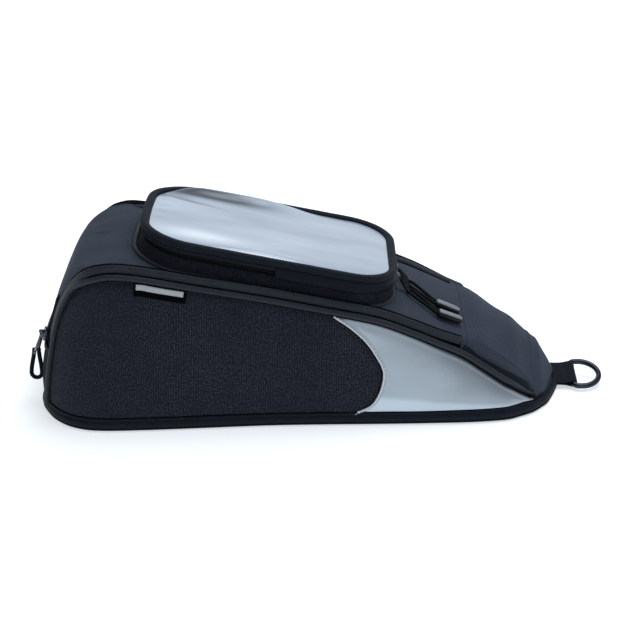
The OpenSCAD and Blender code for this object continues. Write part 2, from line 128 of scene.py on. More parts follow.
def edge_at(s):
    return spl(EDGE_E, s)


def wall_raw(s, z):
    s, z = np.broadcast_arrays(np.asarray(s, float), np.asarray(z, float))
    q = np.abs(s)
    b, e = base_at(q), edge_at(q)
    v = (z / e[..., 2])[..., None]
    t = base_at(q + 0.05) - base_at(np.maximum(q - 0.05, -0.9))
    h = unit(np.stack([-t[..., 1], t[..., 0], np.zeros_like(q)], -1))
    w = np.interp(q, range(len(SWELL)), SWELL)[..., None] * 4 * v * (1 - v)
    p = b + (e - b) * v + h * w
    p = p.copy()
    p[..., 1] = np.where(s < 0, -p[..., 1], p[..., 1])
    return p


def wall_out(s, z):
    s, z = np.broadcast_arrays(np.asarray(s, float), np.asarray(z, float))
    n = unit(np.cross(wall_raw(s, z + 0.4) - wall_raw(s, z - 0.4), wall_raw(s + 0.04, z) - wall_raw(s - 0.04, z)))
    return n * [1, -1, 1]


def wall(s, z, o=0.0):
    o = np.asarray(o, float)
    return wall_raw(s, z) * [1, -1, 1] + o[..., None] * wall_out(s, z)


def seam_z(s):
    return look(s, SEAM)


def pipe_z(s):
    return look(s, [p for p in PIPE if p[0] > 3])


def split_s(w):
    w = np.asarray(w, float)
    x = np.mean([look(np.clip(w + o, 0, 1), SPLIT) for o in np.linspace(-0.035, 0.035, 9)], axis=0)
    x = x - 4 * np.exp(-w / 0.012)
    return 10 + x / 50 + 0.0103 * np.logaddexp(0, (x - 50) / 1.0)


def edge_w(x):
    return look(x, [[p[0], p[1]] for p in EDGE[6:16]])


def edge_z(x):
    return look(x, [[-222, 147], [-205, 150]] + [[p[0], p[2]] for p in EDGE[6:16]])


def lid_z(x, y):
    return edge_z(x) + 4 * (1 - np.minimum(1, (y / edge_w(x)) ** 2))


def grid(nu, nv):
    return np.meshgrid(np.linspace(0, 1, nu), np.linspace(0, 1, nv), indexing="ij")


def noise3(P, size, seed=0.0):
    """Smooth noise from -1 to 1 at points P, with features of about size mm."""
    Q = np.asarray(P, float).reshape(-1, 3) / size + seed * 17.3
    out = np.array([noise.noise(Vector(q)) for q in Q])
    return out.reshape(np.asarray(P).shape[:-1])


def smooth01(x):
    x = np.clip(x, 0, 1)
    return x * x * (3 - 2 * x)


def grid_normals(P):
    du, dv = np.gradient(P, axis=0), np.gradient(P, axis=1)
    return unit(np.cross(du, dv))


# ---------------------------------------------------------------- mesh makers
def make(name, V, F, body, slot, mats, fab=None, replaces=(), smooth=True, sharp=None, midx=None, flip=False):
    me = bpy.data.meshes.new(name)
    V = np.asarray(V, float).reshape(-1, 3)
    me.from_pydata(((V - [XM, 0, 0]) / 1000).tolist(), [], [list(map(int, f)) for f in F])
    if fab is not None:
        a = me.attributes.new("fab", "FLOAT_VECTOR", "POINT")
        fb = np.zeros((len(V), 3), np.float32)
        fb[:, :2] = np.asarray(fab, float).reshape(-1, 2) / 1000
        a.data.foreach_set("vector", fb.ravel())
    if midx is not None:
        me.polygons.foreach_set("material_index", np.asarray(midx, int))
    bm = bmesh.new()
    bm.from_mesh(me)
    bmesh.ops.recalc_face_normals(bm, faces=bm.faces)
    bm.to_mesh(me)
    bm.free()
    me.polygons.foreach_set("use_smooth", [smooth] * len(me.polygons))
    if sharp is not None:
        me.set_sharp_from_angle(angle=math.radians(sharp))
    me.update()
    ob = bpy.data.objects.new(name, me)
    scene.collection.objects.link(ob)
    for m in mats if isinstance(mats, (list, tuple)) else [mats]:
        me.materials.append(m)
    if body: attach(ob, body)
    if replaces:
        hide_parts(*replaces)
    return ob


def join(parts):
    """Several (V, F, fab) into one."""
    Vs, Fs, Bs, k = [], [], [], 0
    for V, F, B in parts:
        V = np.asarray(V, float).reshape(-1, 3)
        Vs.append(V)
        Fs += [[i + k for i in f] for f in F]
        Bs.append(np.zeros((len(V), 2)) if B is None else np.asarray(B, float).reshape(-1, 2))
        k += len(V)
    return np.concatenate(Vs), Fs, np.concatenate(Bs)


def grid_fab(P):
    """Distances along both ways of a grid of points, in mm."""
    a = np.concatenate([np.zeros((1, P.shape[1])), np.cumsum(np.linalg.norm(np.diff(P, axis=0), axis=-1), axis=0)])
    b = np.concatenate([np.zeros((P.shape[0], 1)), np.cumsum(np.linalg.norm(np.diff(P, axis=1), axis=-1), axis=1)], axis=1)
    return np.stack([a.mean(axis=1, keepdims=True).repeat(P.shape[1], 1), b], -1)


def shell(P, t, N=None, fab=None, roll=0.45):
    """Closed sheet of thickness t under grid P (nu, nv, 3), with its edges rolled over."""
    nu, nv, _ = P.shape
    N = grid_normals(P) if N is None else N
    fab = grid_fab(P) if fab is None else fab
    inner = P - t * N
    idx = np.arange(nu * nv).reshape(nu, nv)
    F = []
    m = nu * nv
    for i in range(nu - 1):
        for j in range(nv - 1):
            F.append([idx[i, j], idx[i + 1, j], idx[i + 1, j + 1], idx[i, j + 1]])
            F.append([m + idx[i, j], m + idx[i, j + 1], m + idx[i + 1, j + 1], m + idx[i + 1, j]])
    loop = [(i, 0) for i in range(nu)] + [(nu - 1, j) for j in range(1, nv)] + \
           [(i, nv - 1) for i in range(nu - 2, -1, -1)] + [(0, j) for j in range(nv - 2, 0, -1)]
    mid, mfab = [], []
    for i, j in loop:
        d = np.zeros(3)
        if i == 0: d += unit(P[0, j] - P[1, j])
        if i == nu - 1: d += unit(P[-1, j] - P[-2, j])
        if j == 0: d += unit(P[i, 0] - P[i, 1])
        if j == nv - 1: d += unit(P[i, -1] - P[i, -2])
        mid.append(P[i, j] - t / 2 * N[i, j] + unit(d) * t * roll)
        mfab.append(fab[i, j])
    k = 2 * m
    n = len(loop)
    for a in range(n):
        b = (a + 1) % n
        ia, ib = idx[loop[a]], idx[loop[b]]
        F.append([ia, ib, k + b, k + a])
        F.append([k + a, k + b, m + ib, m + ia])
    V = np.concatenate([P.reshape(-1, 3), inner.reshape(-1, 3), np.array(mid)])
    B = np.concatenate([fab.reshape(-1, 2), fab.reshape(-1, 2), np.array(mfab)])
    return V, F, B


def loft(R, closed=False, caps=True, ring_closed=True):
    """Body through rings R (n, m, 3)."""
    R = np.asarray(R, float)
    n, m, _ = R.shape
    F = []
    last = n if closed else n - 1
    for k in range(last):
        a, b = k * m, ((k + 1) % n) * m
        for j in range(m if ring_closed else m - 1):
            j2 = (j + 1) % m
            F.append([a + j, b + j, b + j2, a + j2])
    if not closed and caps:
        F.append(list(range(m)))
        F.append([(n - 1) * m + j for j in range(m)][::-1])
    C = R.mean(axis=1)
    al = np.concatenate([[0], np.cumsum(np.linalg.norm(np.diff(C, axis=0), axis=-1))])
    per = np.linalg.norm(np.roll(R, -1, axis=1) - R, axis=-1).mean(axis=0)
    ac = np.concatenate([[0], np.cumsum(per)[:-1]])
    B = np.stack(np.broadcast_arrays(al[:, None], ac[None, :]), -1)
    return R.reshape(-1, 3), F, B.reshape(-1, 2)


def frames(Q, N0, closed=False):
    """Along, across and normal directions of a path Q with rough normals N0."""
    if closed:
        T = unit(np.roll(Q, -1, axis=0) - np.roll(Q, 1, axis=0))
    else:
        T = unit(np.gradient(Q, axis=0))
    C = unit(np.cross(N0, T))
    return T, C, np.cross(T, C)


def on_wall(path, dense):
    """Dense points and outward directions of a path of [s, z] on the right-hand wall."""
    p = end_spl(path, np.linspace(0, len(path) - 1, dense))
    Q = wall(p[:, 0], p[:, 1])
    d = np.concatenate([[0], np.cumsum(np.linalg.norm(np.diff(Q, axis=0), axis=-1))])
    u = np.linspace(0, d[-1], dense)
    s, z = np.interp(u, d, p[:, 0]), np.interp(u, d, p[:, 1])
    return wall(s, z), wall_out(s, z)


def sweep(Q, N0, profile, closed=False, scale=None, wob=None):
    """Closed profile of (across, out) pairs swept along Q."""
    T, C, N = frames(Q, N0, closed)
    pr = np.array(profile, float)
    sc = np.ones((len(Q), 2)) if scale is None else np.asarray(scale, float)
    R = Q[:, None] + (pr[None, :, 0] * sc[:, :1])[..., None] * C[:, None] + (pr[None, :, 1] * sc[:, 1:])[..., None] * N[:, None]
    if wob is not None:
        R = R + wob[:, :, None] * N[:, None]
    return loft(R, closed)


def ellipse(a, b, m=12, c0=0.0, o0=0.0, turn=0.0):
    t = np.arange(m) / m * 2 * PI + turn
    return [(c0 + a * math.cos(x), o0 + b * math.sin(x)) for x in t]


def pill(w, h, c0=0.0, o0=0.0, power=3.2, m=20):
    """Rounded flat section of width w and height h."""
    out = []
    for k in range(m):
        t = 2 * PI * k / m
        c, s = math.cos(t), math.sin(t)
        out.append((c0 + w / 2 * math.copysign(abs(c) ** (2 / power), c), o0 + h / 2 * math.copysign(abs(s) ** (2 / power), s)))
    return out


def resample(Q, step, N=None, closed=False):
    Q = np.asarray(Q, float)
    if closed:
        Q = np.concatenate([Q, Q[:1]])
        N = None if N is None else np.concatenate([N, N[:1]])
    d = np.concatenate([[0], np.cumsum(np.linalg.norm(np.diff(Q, axis=0), axis=-1))])
    n = max(2, int(round(d[-1] / step)))
    u = np.linspace(0, d[-1], n + 1)
    if closed: u = u[:-1]
    P = np.stack([np.interp(u, d, Q[:, k]) for k in range(3)], -1)
    if N is None: return P
    return P, unit(np.stack([np.interp(u, d, N[:, k]) for k in range(3)], -1))


def stitches(Q, N0, pitch=3.4, length=2.3, width=0.62, lift=0.25, closed=False):
    """A row of thread stitches on a path: a small rounded bead for each, dipping at both ends."""
    P, N0 = resample(Q, pitch, N0, closed)
    T = unit(np.roll(P, -1, axis=0) - np.roll(P, 1, axis=0)) if closed else unit(np.gradient(P, axis=0))
    C = unit(np.cross(N0, T)); N = np.cross(T, C)
    prof = [(-0.5, -0.5, 0.35), (-0.36, 0.12, 0.9), (0.0, 0.3, 1.0), (0.36, 0.12, 0.9), (0.5, -0.5, 0.35)]
    V, F = [], []
    for p, t, c, n in zip(P, T, C, N):
        k = len(V)
        for a, h, w in prof:
            o = p + t * length * a + n * (lift + width * h)
            r = width / 2 * w
            V += [o + c * r, o + n * r, o - c * r, o - n * r]
        for q in range(4):
            for j in range(4):
                F.append([k + q * 4 + j, k + q * 4 + (j + 1) % 4, k + q * 4 + 4 + (j + 1) % 4, k + q * 4 + 4 + j])
        F.append([k, k + 3, k + 2, k + 1])
        F.append([k + 16, k + 17, k + 18, k + 19])
    return np.array(V), F, None


def mirrored(part):
    V, F, B = part
    return np.asarray(V).reshape(-1, 3) * [1, -1, 1], F, B


# ---------------------------------------------------------------- materials
class Nodes:
    def __init__(self, name):
        self.m = bpy.data.materials.new(name)
        self.m.use_nodes = True
        self.t = self.m.node_tree
        self.b = self.t.nodes["Principled BSDF"]

    def new(self, kind, **kw):
        n = self.t.nodes.new(kind)
        for k, v in kw.items():
            if k.startswith("i_"):
                n.inputs[k[2:].replace("_", " ")].default_value = v
            else:
                setattr(n, k, v)
        return n

    def link(self, a, b):
        self.t.links.new(a, b)

    def math(self, op, a, b=None, clamp=False):
        n = self.t.nodes.new("ShaderNodeMath")
        n.operation, n.use_clamp = op, clamp
        for k, v in enumerate((a, b)):
            if v is None: continue
            if isinstance(v, (int, float)): n.inputs[k].default_value = v
            else: self.link(v, n.inputs[k])
        return n.outputs[0]

    def noise(self, vec, scale, detail=3.0, rough=0.55):
        n = self.t.nodes.new("ShaderNodeTexNoise")
        n.inputs["Scale"].default_value = scale
        n.inputs["Detail"].default_value = detail
        n.inputs["Roughness"].default_value = rough
        self.link(vec, n.inputs["Vector"])
        return n.outputs["Fac"]

    def ramp(self, fac, stops):
        n = self.t.nodes.new("ShaderNodeValToRGB")
        while len(n.color_ramp.elements) < len(stops): n.color_ramp.elements.new(0.5)
        for e, (p, c) in zip(n.color_ramp.elements, stops):
            e.position = p
            e.color = (c[0], c[1], c[2], 1) if hasattr(c, "__len__") else (c, c, c, 1)
        self.link(fac, n.inputs["Fac"])
        return n.outputs["Color"]

    def range(self, v, a, b, c, d):
        n = self.t.nodes.new("ShaderNodeMapRange")
        for k, x in zip(("From Min", "From Max", "To Min", "To Max"), (a, b, c, d)): n.inputs[k].default_value = x
        self.link(v, n.inputs["Value"])
        return n.outputs["Result"]

    def bump(self, height, strength, distance, normal=None):
        n = self.t.nodes.new("ShaderNodeBump")
        n.inputs["Strength"].default_value = strength
        n.inputs["Distance"].default_value = distance
        self.link(height, n.inputs["Height"])
        if normal is not None: self.link(normal, n.inputs["Normal"])
        return n.outputs["Normal"]

    def set(self, **kw):
        for k, v in kw.items():
            self.b.inputs[k.replace("_", " ")].default_value = v


def mul(c, f): return tuple(min(1, x * f) for x in c)


def fabric(name, colour, weave="plain", pitch=0.9, rough=0.85, sheen=0.25, depth=0.00035, strength=0.5, light=1.7, wear=1.25, spec=0.25, use_fab=True, fleck=0.32, fine=430):
    """Woven cloth: threads crossing at pitch mm, soft large-scale shade, slight wear and lint."""
    M = Nodes(name)
    if use_fab:
        co = M.new("ShaderNodeAttribute", attribute_name="fab").outputs["Vector"]
    else:
        co = M.new("ShaderNodeTexCoord").outputs["Object"]
    obj = M.new("ShaderNodeTexCoord").outputs["Object"]
    sep = M.new("ShaderNodeSeparateXYZ"); M.link(co, sep.inputs[0])
    jit = M.range(M.noise(co, 320, 2.0), 0, 1, -0.00022, 0.00022)
    ux = M.math("ADD", sep.outputs[0], jit); vy = M.math("ADD", sep.outputs[1], jit)
    if not use_fab: vy = M.math("ADD", vy, sep.outputs[2])
    k = 2 * PI / (pitch / 1000)
    if weave == "rib":        # fine upright ribs with small cross threads between them
        a = M.math("SINE", M.math("MULTIPLY", ux, k))
        b = M.math("SINE", M.math("MULTIPLY", vy, k * 1.9))
        h = M.math("ADD", M.math("MULTIPLY", a, 0.72), M.math("MULTIPLY", b, 0.28))
    elif weave == "grid":     # uneven ribs broken by cross threads
        wob = M.range(M.noise(co, 150, 2.0), 0, 1, -0.0009, 0.0009)
        a = M.math("SINE", M.math("MULTIPLY", M.math("ADD", ux, wob), k))
        b = M.math("SINE", M.math("MULTIPLY", M.math("SUBTRACT", vy, wob), k * 1.25))
        h = M.math("ADD", M.math("MULTIPLY", a, 0.5), M.math("MULTIPLY", M.math("MULTIPLY", a, b), 0.5))
    elif weave == "twill":
        a = M.math("SINE", M.math("MULTIPLY", M.math("ADD", ux, vy), k))
        b = M.math("SINE", M.math("MULTIPLY", vy, k * 2))
        h = M.math("ADD", M.math("MULTIPLY", a, 0.7), M.math("MULTIPLY", b, 0.3))
    else:
        a = M.math("SINE", M.math("MULTIPLY", ux, k)); b = M.math("SINE", M.math("MULTIPLY", vy, k))
        h = M.math("MULTIPLY", a, b)
    h01 = M.range(h, -1, 1, 0, 1)
    fuzz = M.noise(co, 1400, 4.0, 0.7)
    big = M.noise(obj, 14, 3.0, 0.5)
    mid = M.noise(obj, 90, 3.0, 0.6)
    speck = M.range(M.noise(co, fine, 2.0, 0.6), 0.3, 0.7, 0, 1)
    f = M.math("ADD", M.math("MULTIPLY", h01, 0.26), M.math("MULTIPLY", fuzz, 0.18))
    f = M.math("ADD", f, M.math("MULTIPLY", speck, fleck))
    if fleck < 0.32: f = M.math("ADD", f, (0.32 - fleck) * 0.5)
    f = M.math("ADD", f, M.math("MULTIPLY", big, 0.13))
    f = M.math("ADD", f, M.math("MULTIPLY", mid, 0.11), clamp=True)
    M.link(M.ramp(f, [(0.24, mul(colour, 0.34 if light > 1.35 else 0.8)), (0.47, colour), (0.68, mul(colour, light)), (0.9, mul(colour, light * wear))]), M.b.inputs["Base Color"])
    M.link(M.range(big, 0.3, 0.7, rough - 0.06, min(1, rough + 0.06)), M.b.inputs["Roughness"])
    M.set(Sheen_Weight=sheen, Sheen_Roughness=0.55, Specular_IOR_Level=spec)
    M.b.inputs["Sheen Tint"].default_value = (0.8, 0.88, 1, 1)
    M.b.inputs["Specular Tint"].default_value = (0.78, 0.88, 1, 1)
    hh = M.math("ADD", M.math("MULTIPLY", h01, 0.75), M.math("MULTIPLY", fuzz, 0.25))
    M.link(M.bump(hh, strength, depth), M.b.inputs["Normal"])
    return M.m


def sheet_vinyl(name, colour, rough, coat, metal=0.0, spec=0.5):
    M = Nodes(name)
    co = M.new("ShaderNodeTexCoord").outputs["Object"]
    big = M.noise(co, 9, 2.0, 0.5)
    fine = M.noise(co, 900, 3.0, 0.6)
    f = M.math("ADD", M.math("MULTIPLY", big, 0.75), M.math("MULTIPLY", fine, 0.25))
    M.link(M.ramp(f, [(0.25, mul(colour, 0.86)), (0.5, colour), (0.8, mul(colour, 1.1))]), M.b.inputs["Base Color"])
    M.link(M.range(M.noise(co, 35, 3.0), 0.2, 0.8, rough - 0.05, rough + 0.06), M.b.inputs["Roughness"])
    M.set(Metallic=metal, Coat_Weight=coat, Coat_Roughness=0.12, Specular_IOR_Level=spec)
    M.b.inputs["Specular Tint"].default_value = (0.7, 0.84, 1, 1)
    M.link(M.bump(fine, 0.05, 0.0002), M.b.inputs["Normal"])
    return M.m


def silver_vinyl(name, colour):
    """Silver-coated vinyl: fine metallic flake under a clear coat, clouded in broad soft patches, with a lighter
    painted reflection band over its lower part, a painted highlight along its rolled upper edge, and darker towards the
    nose.
    """
    M = Nodes(name)
    co = M.new("ShaderNodeTexCoord").outputs["Object"]
    sep = M.new("ShaderNodeSeparateXYZ"); M.link(co, sep.inputs[0])
    st = M.new("ShaderNodeMapping"); st.inputs["Scale"].default_value = (0.55, 0.4, 1.3); M.link(co, st.inputs["Vector"])
    big = M.noise(st.outputs[0], 16, 2.0, 0.45)
    tl = M.new("ShaderNodeMapping"); tl.inputs["Rotation"].default_value = (0.62, 0.47, 0.81); M.link(co, tl.inputs["Vector"])
    fine = M.noise(tl.outputs[0], 1300, 3.0, 0.7)
    fab = M.new("ShaderNodeAttribute", attribute_name="fab").outputs["Vector"]
    fs = M.new("ShaderNodeSeparateXYZ"); M.link(fab, fs.inputs[0])
    # painted reflection: the colour is lighter over the lower part of the panel, below the slanted line level and near
    # the floor (low)
    level = M.math("ADD", sep.outputs[2], M.math("MULTIPLY", M.math("ADD", sep.outputs[0], 0.003), 0.1045))
    level = M.math("ADD", level, M.range(M.noise(co, 22, 2.0), 0, 1, -0.002, 0.002))
    low = M.math("ADD", M.range(sep.outputs[2], 0.008, 0.03, 0.4, 0), M.range(level, 0.0305, 0.0345, 0.6, 0))
    # painted highlight: a thin light line 3.6 mm below the rolled upper edge, weaker towards the rear
    qc = M.math("DIVIDE", M.math("SUBTRACT", fs.outputs[0], 0.0036), 0.0014)
    painted_crest_highlight = M.math("MULTIPLY", M.math("EXPONENT", M.math("MULTIPLY", M.math("MULTIPLY", qc, qc), -1.0)), M.range(sep.outputs[0], 0.07, 0.12, 0.15, 1))
    # darker towards the nose
    front = M.range(sep.outputs[0], 0.07, 0.2, 0, 1)
    f = M.math("ADD", M.math("MULTIPLY", big, 0.42), M.math("MULTIPLY", fine, 0.14))
    f = M.math("ADD", f, M.math("MULTIPLY", low, 0.36))
    f = M.math("SUBTRACT", f, M.math("MULTIPLY", front, 0.34))
    f = M.math("ADD", f, M.math("MULTIPLY", painted_crest_highlight, 0.3))
    M.link(M.ramp(f, [(0.0, mul(colour, 0.62)), (0.3, colour), (0.62, mul(colour, 1.5))]), M.b.inputs["Base Color"])
    M.link(M.range(M.noise(co, 35, 3.0), 0.2, 0.8, 0.24, 0.38), M.b.inputs["Roughness"])
    M.set(Metallic=0.45, Coat_Weight=0.4, Coat_Roughness=0.1, Specular_IOR_Level=0.5)
    M.link(M.bump(fine, 0.06, 0.0002), M.b.inputs["Normal"])
    return M.m


def metal(name, colour, rough=0.28, wear=0.5, metallic=1.0):
    """Plated zinc: slightly uneven, brighter and smoother where it is rubbed."""
    M = Nodes(name)
    co = M.new("ShaderNodeTexCoord").outputs["Object"]
    n1, n2 = M.noise(co, 260, 5.0, 0.65), M.noise(co, 1700, 3.0, 0.7)
    f = M.math("ADD", M.math("MULTIPLY", n1, 0.7), M.math("MULTIPLY", n2, 0.3))
    M.link(M.ramp(f, [(0.3, mul(colour, 0.6)), (0.52, colour), (0.75, mul(colour, 1 + wear))]), M.b.inputs["Base Color"])
    M.link(M.range(n2, 0.25, 0.75, rough - 0.08, rough + 0.12), M.b.inputs["Roughness"])
    M.set(Metallic=metallic, Specular_IOR_Level=0.6)
    M.link(M.bump(n2, 0.12, 0.0001), M.b.inputs["Normal"])
    return M.m


def moulded(name, colour, rough=0.5, grain=2200, strength=0.15, spec=0.45, coat=0.0):
    M = Nodes(name)
    co = M.new("ShaderNodeTexCoord").outputs["Object"]
    g, big = M.noise(co, grain, 3.0, 0.65), M.noise(co, 60, 3.0)
    f = M.math("ADD", M.math("MULTIPLY", g, 0.4), M.math("MULTIPLY", big, 0.6))
    M.link(M.ramp(f, [(0.28, mul(colour, 0.75)), (0.5, colour), (0.75, mul(colour, 1.25))]), M.b.inputs["Base Color"])
    M.link(M.range(g, 0.2, 0.8, rough - 0.08, rough + 0.1), M.b.inputs["Roughness"])
    M.set(Specular_IOR_Level=spec, Coat_Weight=coat)
    M.link(M.bump(g, strength, 0.0002), M.b.inputs["Normal"])
    return M.m


def clear_film(name):
    """Clear vinyl over a pale backing: glossy, bluish, with a painted dark reflection streak where it rolls down to its
    far edge, a painted dark line in its diagonal crease, and painted highlights along its near edge.
    """
    M = Nodes(name)
    co = M.new("ShaderNodeAttribute", attribute_name="fab").outputs["Vector"]
    sep = M.new("ShaderNodeSeparateXYZ"); M.link(co, sep.inputs[0])
    st = M.new("ShaderNodeMapping"); st.inputs["Scale"].default_value = (1, 3.0, 1); M.link(co, st.inputs["Vector"])
    band = M.noise(st.outputs[0], 9, 2.0, 0.4)
    fine = M.noise(co, 60, 3.0, 0.6)

    def hill(src, mid, wide):
        q = M.math("DIVIDE", M.math("SUBTRACT", src, mid), wide)
        return M.math("EXPONENT", M.math("MULTIPLY", M.math("MULTIPLY", q, q), -1.0))

    X, Y = sep.outputs[0], sep.outputs[1]
    # painted light: shade paints a dark reflection streak near the far edge, shade2 a dark line in the diagonal crease,
    # gleam and lip light highlights near the near edge
    slant = M.math("ADD", Y, M.math("MULTIPLY", X, 0.05))
    shade = M.math("MULTIPLY", hill(slant, 0.0510, 0.0075), hill(X, -0.060, 0.046))
    shade2 = M.math("MULTIPLY", hill(M.math("ADD", Y, M.math("MULTIPLY", X, 0.32)), 0.012, 0.0024), hill(X, -0.080, 0.026))
    gleam = M.math("MULTIPLY", hill(Y, -0.043, 0.012), hill(X, -0.055, 0.05))
    lip = M.math("MULTIPLY", hill(Y, -0.0655, 0.0012), hill(X, -0.012, 0.036))
    f = M.math("ADD", M.math("MULTIPLY", band, 0.5), M.math("MULTIPLY", gleam, 0.42))
    f = M.math("SUBTRACT", f, M.math("MULTIPLY", shade, 1.0))
    f = M.math("SUBTRACT", f, M.math("MULTIPLY", shade2, 0.36))
    f = M.math("ADD", f, M.math("MULTIPLY", lip, 0.5))
    f = M.math("ADD", f, 0.35, clamp=True)
    M.link(M.ramp(f, [(0.0, (0.04, 0.052, 0.072)), (0.35, (0.24, 0.285, 0.345)), (0.6, (0.44, 0.50, 0.585)), (0.8, (0.60, 0.67, 0.76)), (1.0, (0.84, 0.89, 0.95))]), M.b.inputs["Base Color"])
    M.link(M.range(fine, 0.2, 0.8, 0.2, 0.28), M.b.inputs["Roughness"])
    M.set(IOR=1.5, Coat_Weight=0.3, Coat_Roughness=0.12, Specular_IOR_Level=0.5)
    M.link(M.bump(band, 0.12, 0.002), M.b.inputs["Normal"])
    return M.m


M_RIB = fabric("ribbed_nylon", (0.0098, 0.0110, 0.0162), "grid", 2.2, 0.85, 0.04, 0.0009, 0.9, 3.8, 2.1, 0.12, fine=560)
M_BODY = fabric("black_polyester", (0.0065, 0.0075, 0.0115), "plain", 1.3, 0.85, 0.03, 0.0005, 0.6, 2.2, 1.5, 0.08)
M_GUSSET = fabric("gusset_nylon", (0.0075, 0.009, 0.0135), "grid", 2.2, 0.85, 0.04, 0.0009, 0.85, 2.4, 1.6, 0.1)
M_PANEL = fabric("panel_polyester", (0.0335, 0.0398, 0.0575), "grid", 1.5, 0.8, 0.05, 0.0005, 0.5, 1.7, 1.3, 0.12, fleck=0.14, fine=700)
M_BIND = fabric("binding_tape", (0.0050, 0.0064, 0.0110), "twill", 1.3, 0.66, 0.03, 0.0004, 0.5, 1.9, 1.4, 0.13)
M_PIPE = fabric("piping_cloth", (0.0074, 0.0086, 0.0130), "plain", 1.0, 0.5, 0.08, 0.0004, 0.45, 1.9, 1.4, 0.30)
M_RAIN = fabric("rain_flap_cloth", (0.0092, 0.0106, 0.0158), "plain", 1.1, 0.55, 0.1, 0.0004, 0.5, 1.9, 1.4, 0.30)
M_TAPE = fabric("zip_tape", (0.0045, 0.0045, 0.006), "twill", 0.8, 0.9, 0.03, 0.0003, 0.5, 1.8, 1.3, 0.06)
M_SILVER = silver_vinyl("silver_vinyl", (0.345, 0.405, 0.455))
# pale: painted highlight on the silver panel's folded edge
M_FOLD_HIGHLIGHT = sheet_vinyl("silver_edge", (0.62, 0.67, 0.72), 0.4, 0.1)
M_FLAPGLOSS = sheet_vinyl("coated_flap", (0.0036, 0.0044, 0.0072), 0.5, 0.0, spec=0.12)
M_CLEAR = clear_film("clear_vinyl")
M_GRIP = moulded("grip_base", (0.02, 0.02, 0.023), 0.75, 900, 0.5)
M_METAL = metal("slider_metal", (0.085, 0.09, 0.105), 0.17, 1.4)
M_PULL = metal("pull_metal", (0.035, 0.037, 0.043), 0.14, 1.6)
M_RING = metal("ring_metal", (0.04, 0.044, 0.055), 0.2)
M_TEETH = moulded("zip_teeth", (0.006, 0.006, 0.008), 0.4, 800, 0.1, 0.2)
M_CORD = fabric("pull_cord", (0.0028, 0.0030, 0.0040), "twill", 1.0, 0.7, 0.02, 0.0004, 0.6, 2.0, 1.3, 0.12, use_fab=False)
M_TIPGREY = moulded("grey_rubber", (0.20, 0.225, 0.255), 0.45, 1500, 0.1)
M_TIPBLACK = moulded("black_rubber", (0.006, 0.006, 0.008), 0.4, 1500, 0.15, 0.25)
M_WEB = fabric("webbing", (0.006, 0.0075, 0.0115), "rib", 1.6, 0.75, 0.04, 0.0007, 0.8, 2.2, 1.4, 0.12)
M_THREAD = fabric("black_thread", (0.018, 0.019, 0.024), "twill", 0.5, 0.6, 0.1, 0.0001, 0.3, use_fab=False)
M_WHITE = fabric("white_thread", (0.55, 0.57, 0.6), "twill", 0.5, 0.6, 0.1, 0.0001, 0.3, 1.2, use_fab=False)
M_LABEL = fabric("label_cloth", (0.42, 0.43, 0.445), "plain", 0.5, 0.6, 0.1, 0.0001, 0.3, 1.15)
# near-black: painted shadow in the seam strips, and the real black lower part of the label
M_SHADOW_AND_LABEL_BLACK = moulded("seam_shadow_and_label_black", (0.0025, 0.0025, 0.003), 0.95, 900, 0.2, 0.02)
M_FOAM = moulded("foam", (0.09, 0.09, 0.095), 0.9, 700, 0.8, 0.1)
M_BOARD = moulded("board", (0.05, 0.051, 0.055), 0.7, 500, 0.3, 0.3)
M_MAGNET = metal("magnet", (0.5, 0.51, 0.53), 0.35, 0.3)

# ---------------------------------------------------------------- cords (free, so they come early)
ca, sa = math.cos(math.radians(11.4)), math.sin(math.radians(11.4))


def pk(x, y, z):
    x, y, z = np.broadcast_arrays(np.asarray(x, float), np.asarray(y, float), np.asarray(z, float))
    return np.stack([-49 + x * ca + z * sa, y, 133.6 - x * sa + z * ca], -1)


def frame_of(o, y, z):
    b = unit(y); c = unit(np.asarray(z) - b * np.dot(z, b)); a = np.cross(b, c)
    M = np.eye(4); M[:3, 0], M[:3, 1], M[:3, 2], M[:3, 3] = a, b, c, o
    return M


def put(M, P):
    P = np.asarray(P, float)
    return P @ M[:3, :3].T + M[:3, 3]


PIN_Z, PLATE_L = 4.2, 17.0


def on_plate(M, turn, a, l):
    t, a = math.radians(turn), math.radians(a)
    return put(M, [math.cos(a) * l * math.sin(t), -math.cos(a) * l * math.cos(t), PIN_Z - math.sin(a) * l])


side_n = wall_out(2.0, 90.0)
side_lo, side_hi = wall(2.0, 74.0, 3.0), wall(2.0, 112.0, 3.0)
side_M = frame_of(side_lo + 0.9 * side_n, side_hi - side_lo, side_n)
rear_M = frame_of(wall(1.15, 65.5, 1.2), [0, 1, 0], wall_out(1.15, 65.5))
REAR_A, PULL_TURN, PULL_A = -10.0, 74.0, -46.0
pocket_n = np.array([ca, 0, -sa])
far_M = frame_of(pk(116.9, 2, 9.3), [0, 1, 0], pocket_n)
near_M = frame_of(pk(116.9, -18, 9.3), [0, 1, 0], pocket_n)


def tip_end(x, y):
    return np.array([x, y, float(lid_z(x, y)) + 1.7])


far_tip = frame_of(tip_end(105, -29), tip_end(127, -31) - tip_end(105, -29), [0, 0, 1])
near_tip = frame_of(tip_end(106, -48), tip_end(128, -47) - tip_end(106, -48), [0, 0, 1])


def drop(A, B, side, w0, r, n):
    L = np.linalg.norm(B - A); T = (B - A) / L; S = unit(side - T * np.dot(side, T)); m = L - r
    out = [A + T * m * f + S * (w0 + (r - w0) * (1 - math.cos(PI * f)) / 2) for f in np.linspace(0, 1, n + 1)]
    out += [A + T * (m + r * math.sin(PI / 6 * i)) + S * r * math.cos(PI / 6 * i) for i in range(1, 6)]
    out += [A + T * m * f - S * (w0 + (r - w0) * (1 - math.cos(PI * f)) / 2) for f in np.linspace(1, 0, n + 1)]
    return np.array(out)


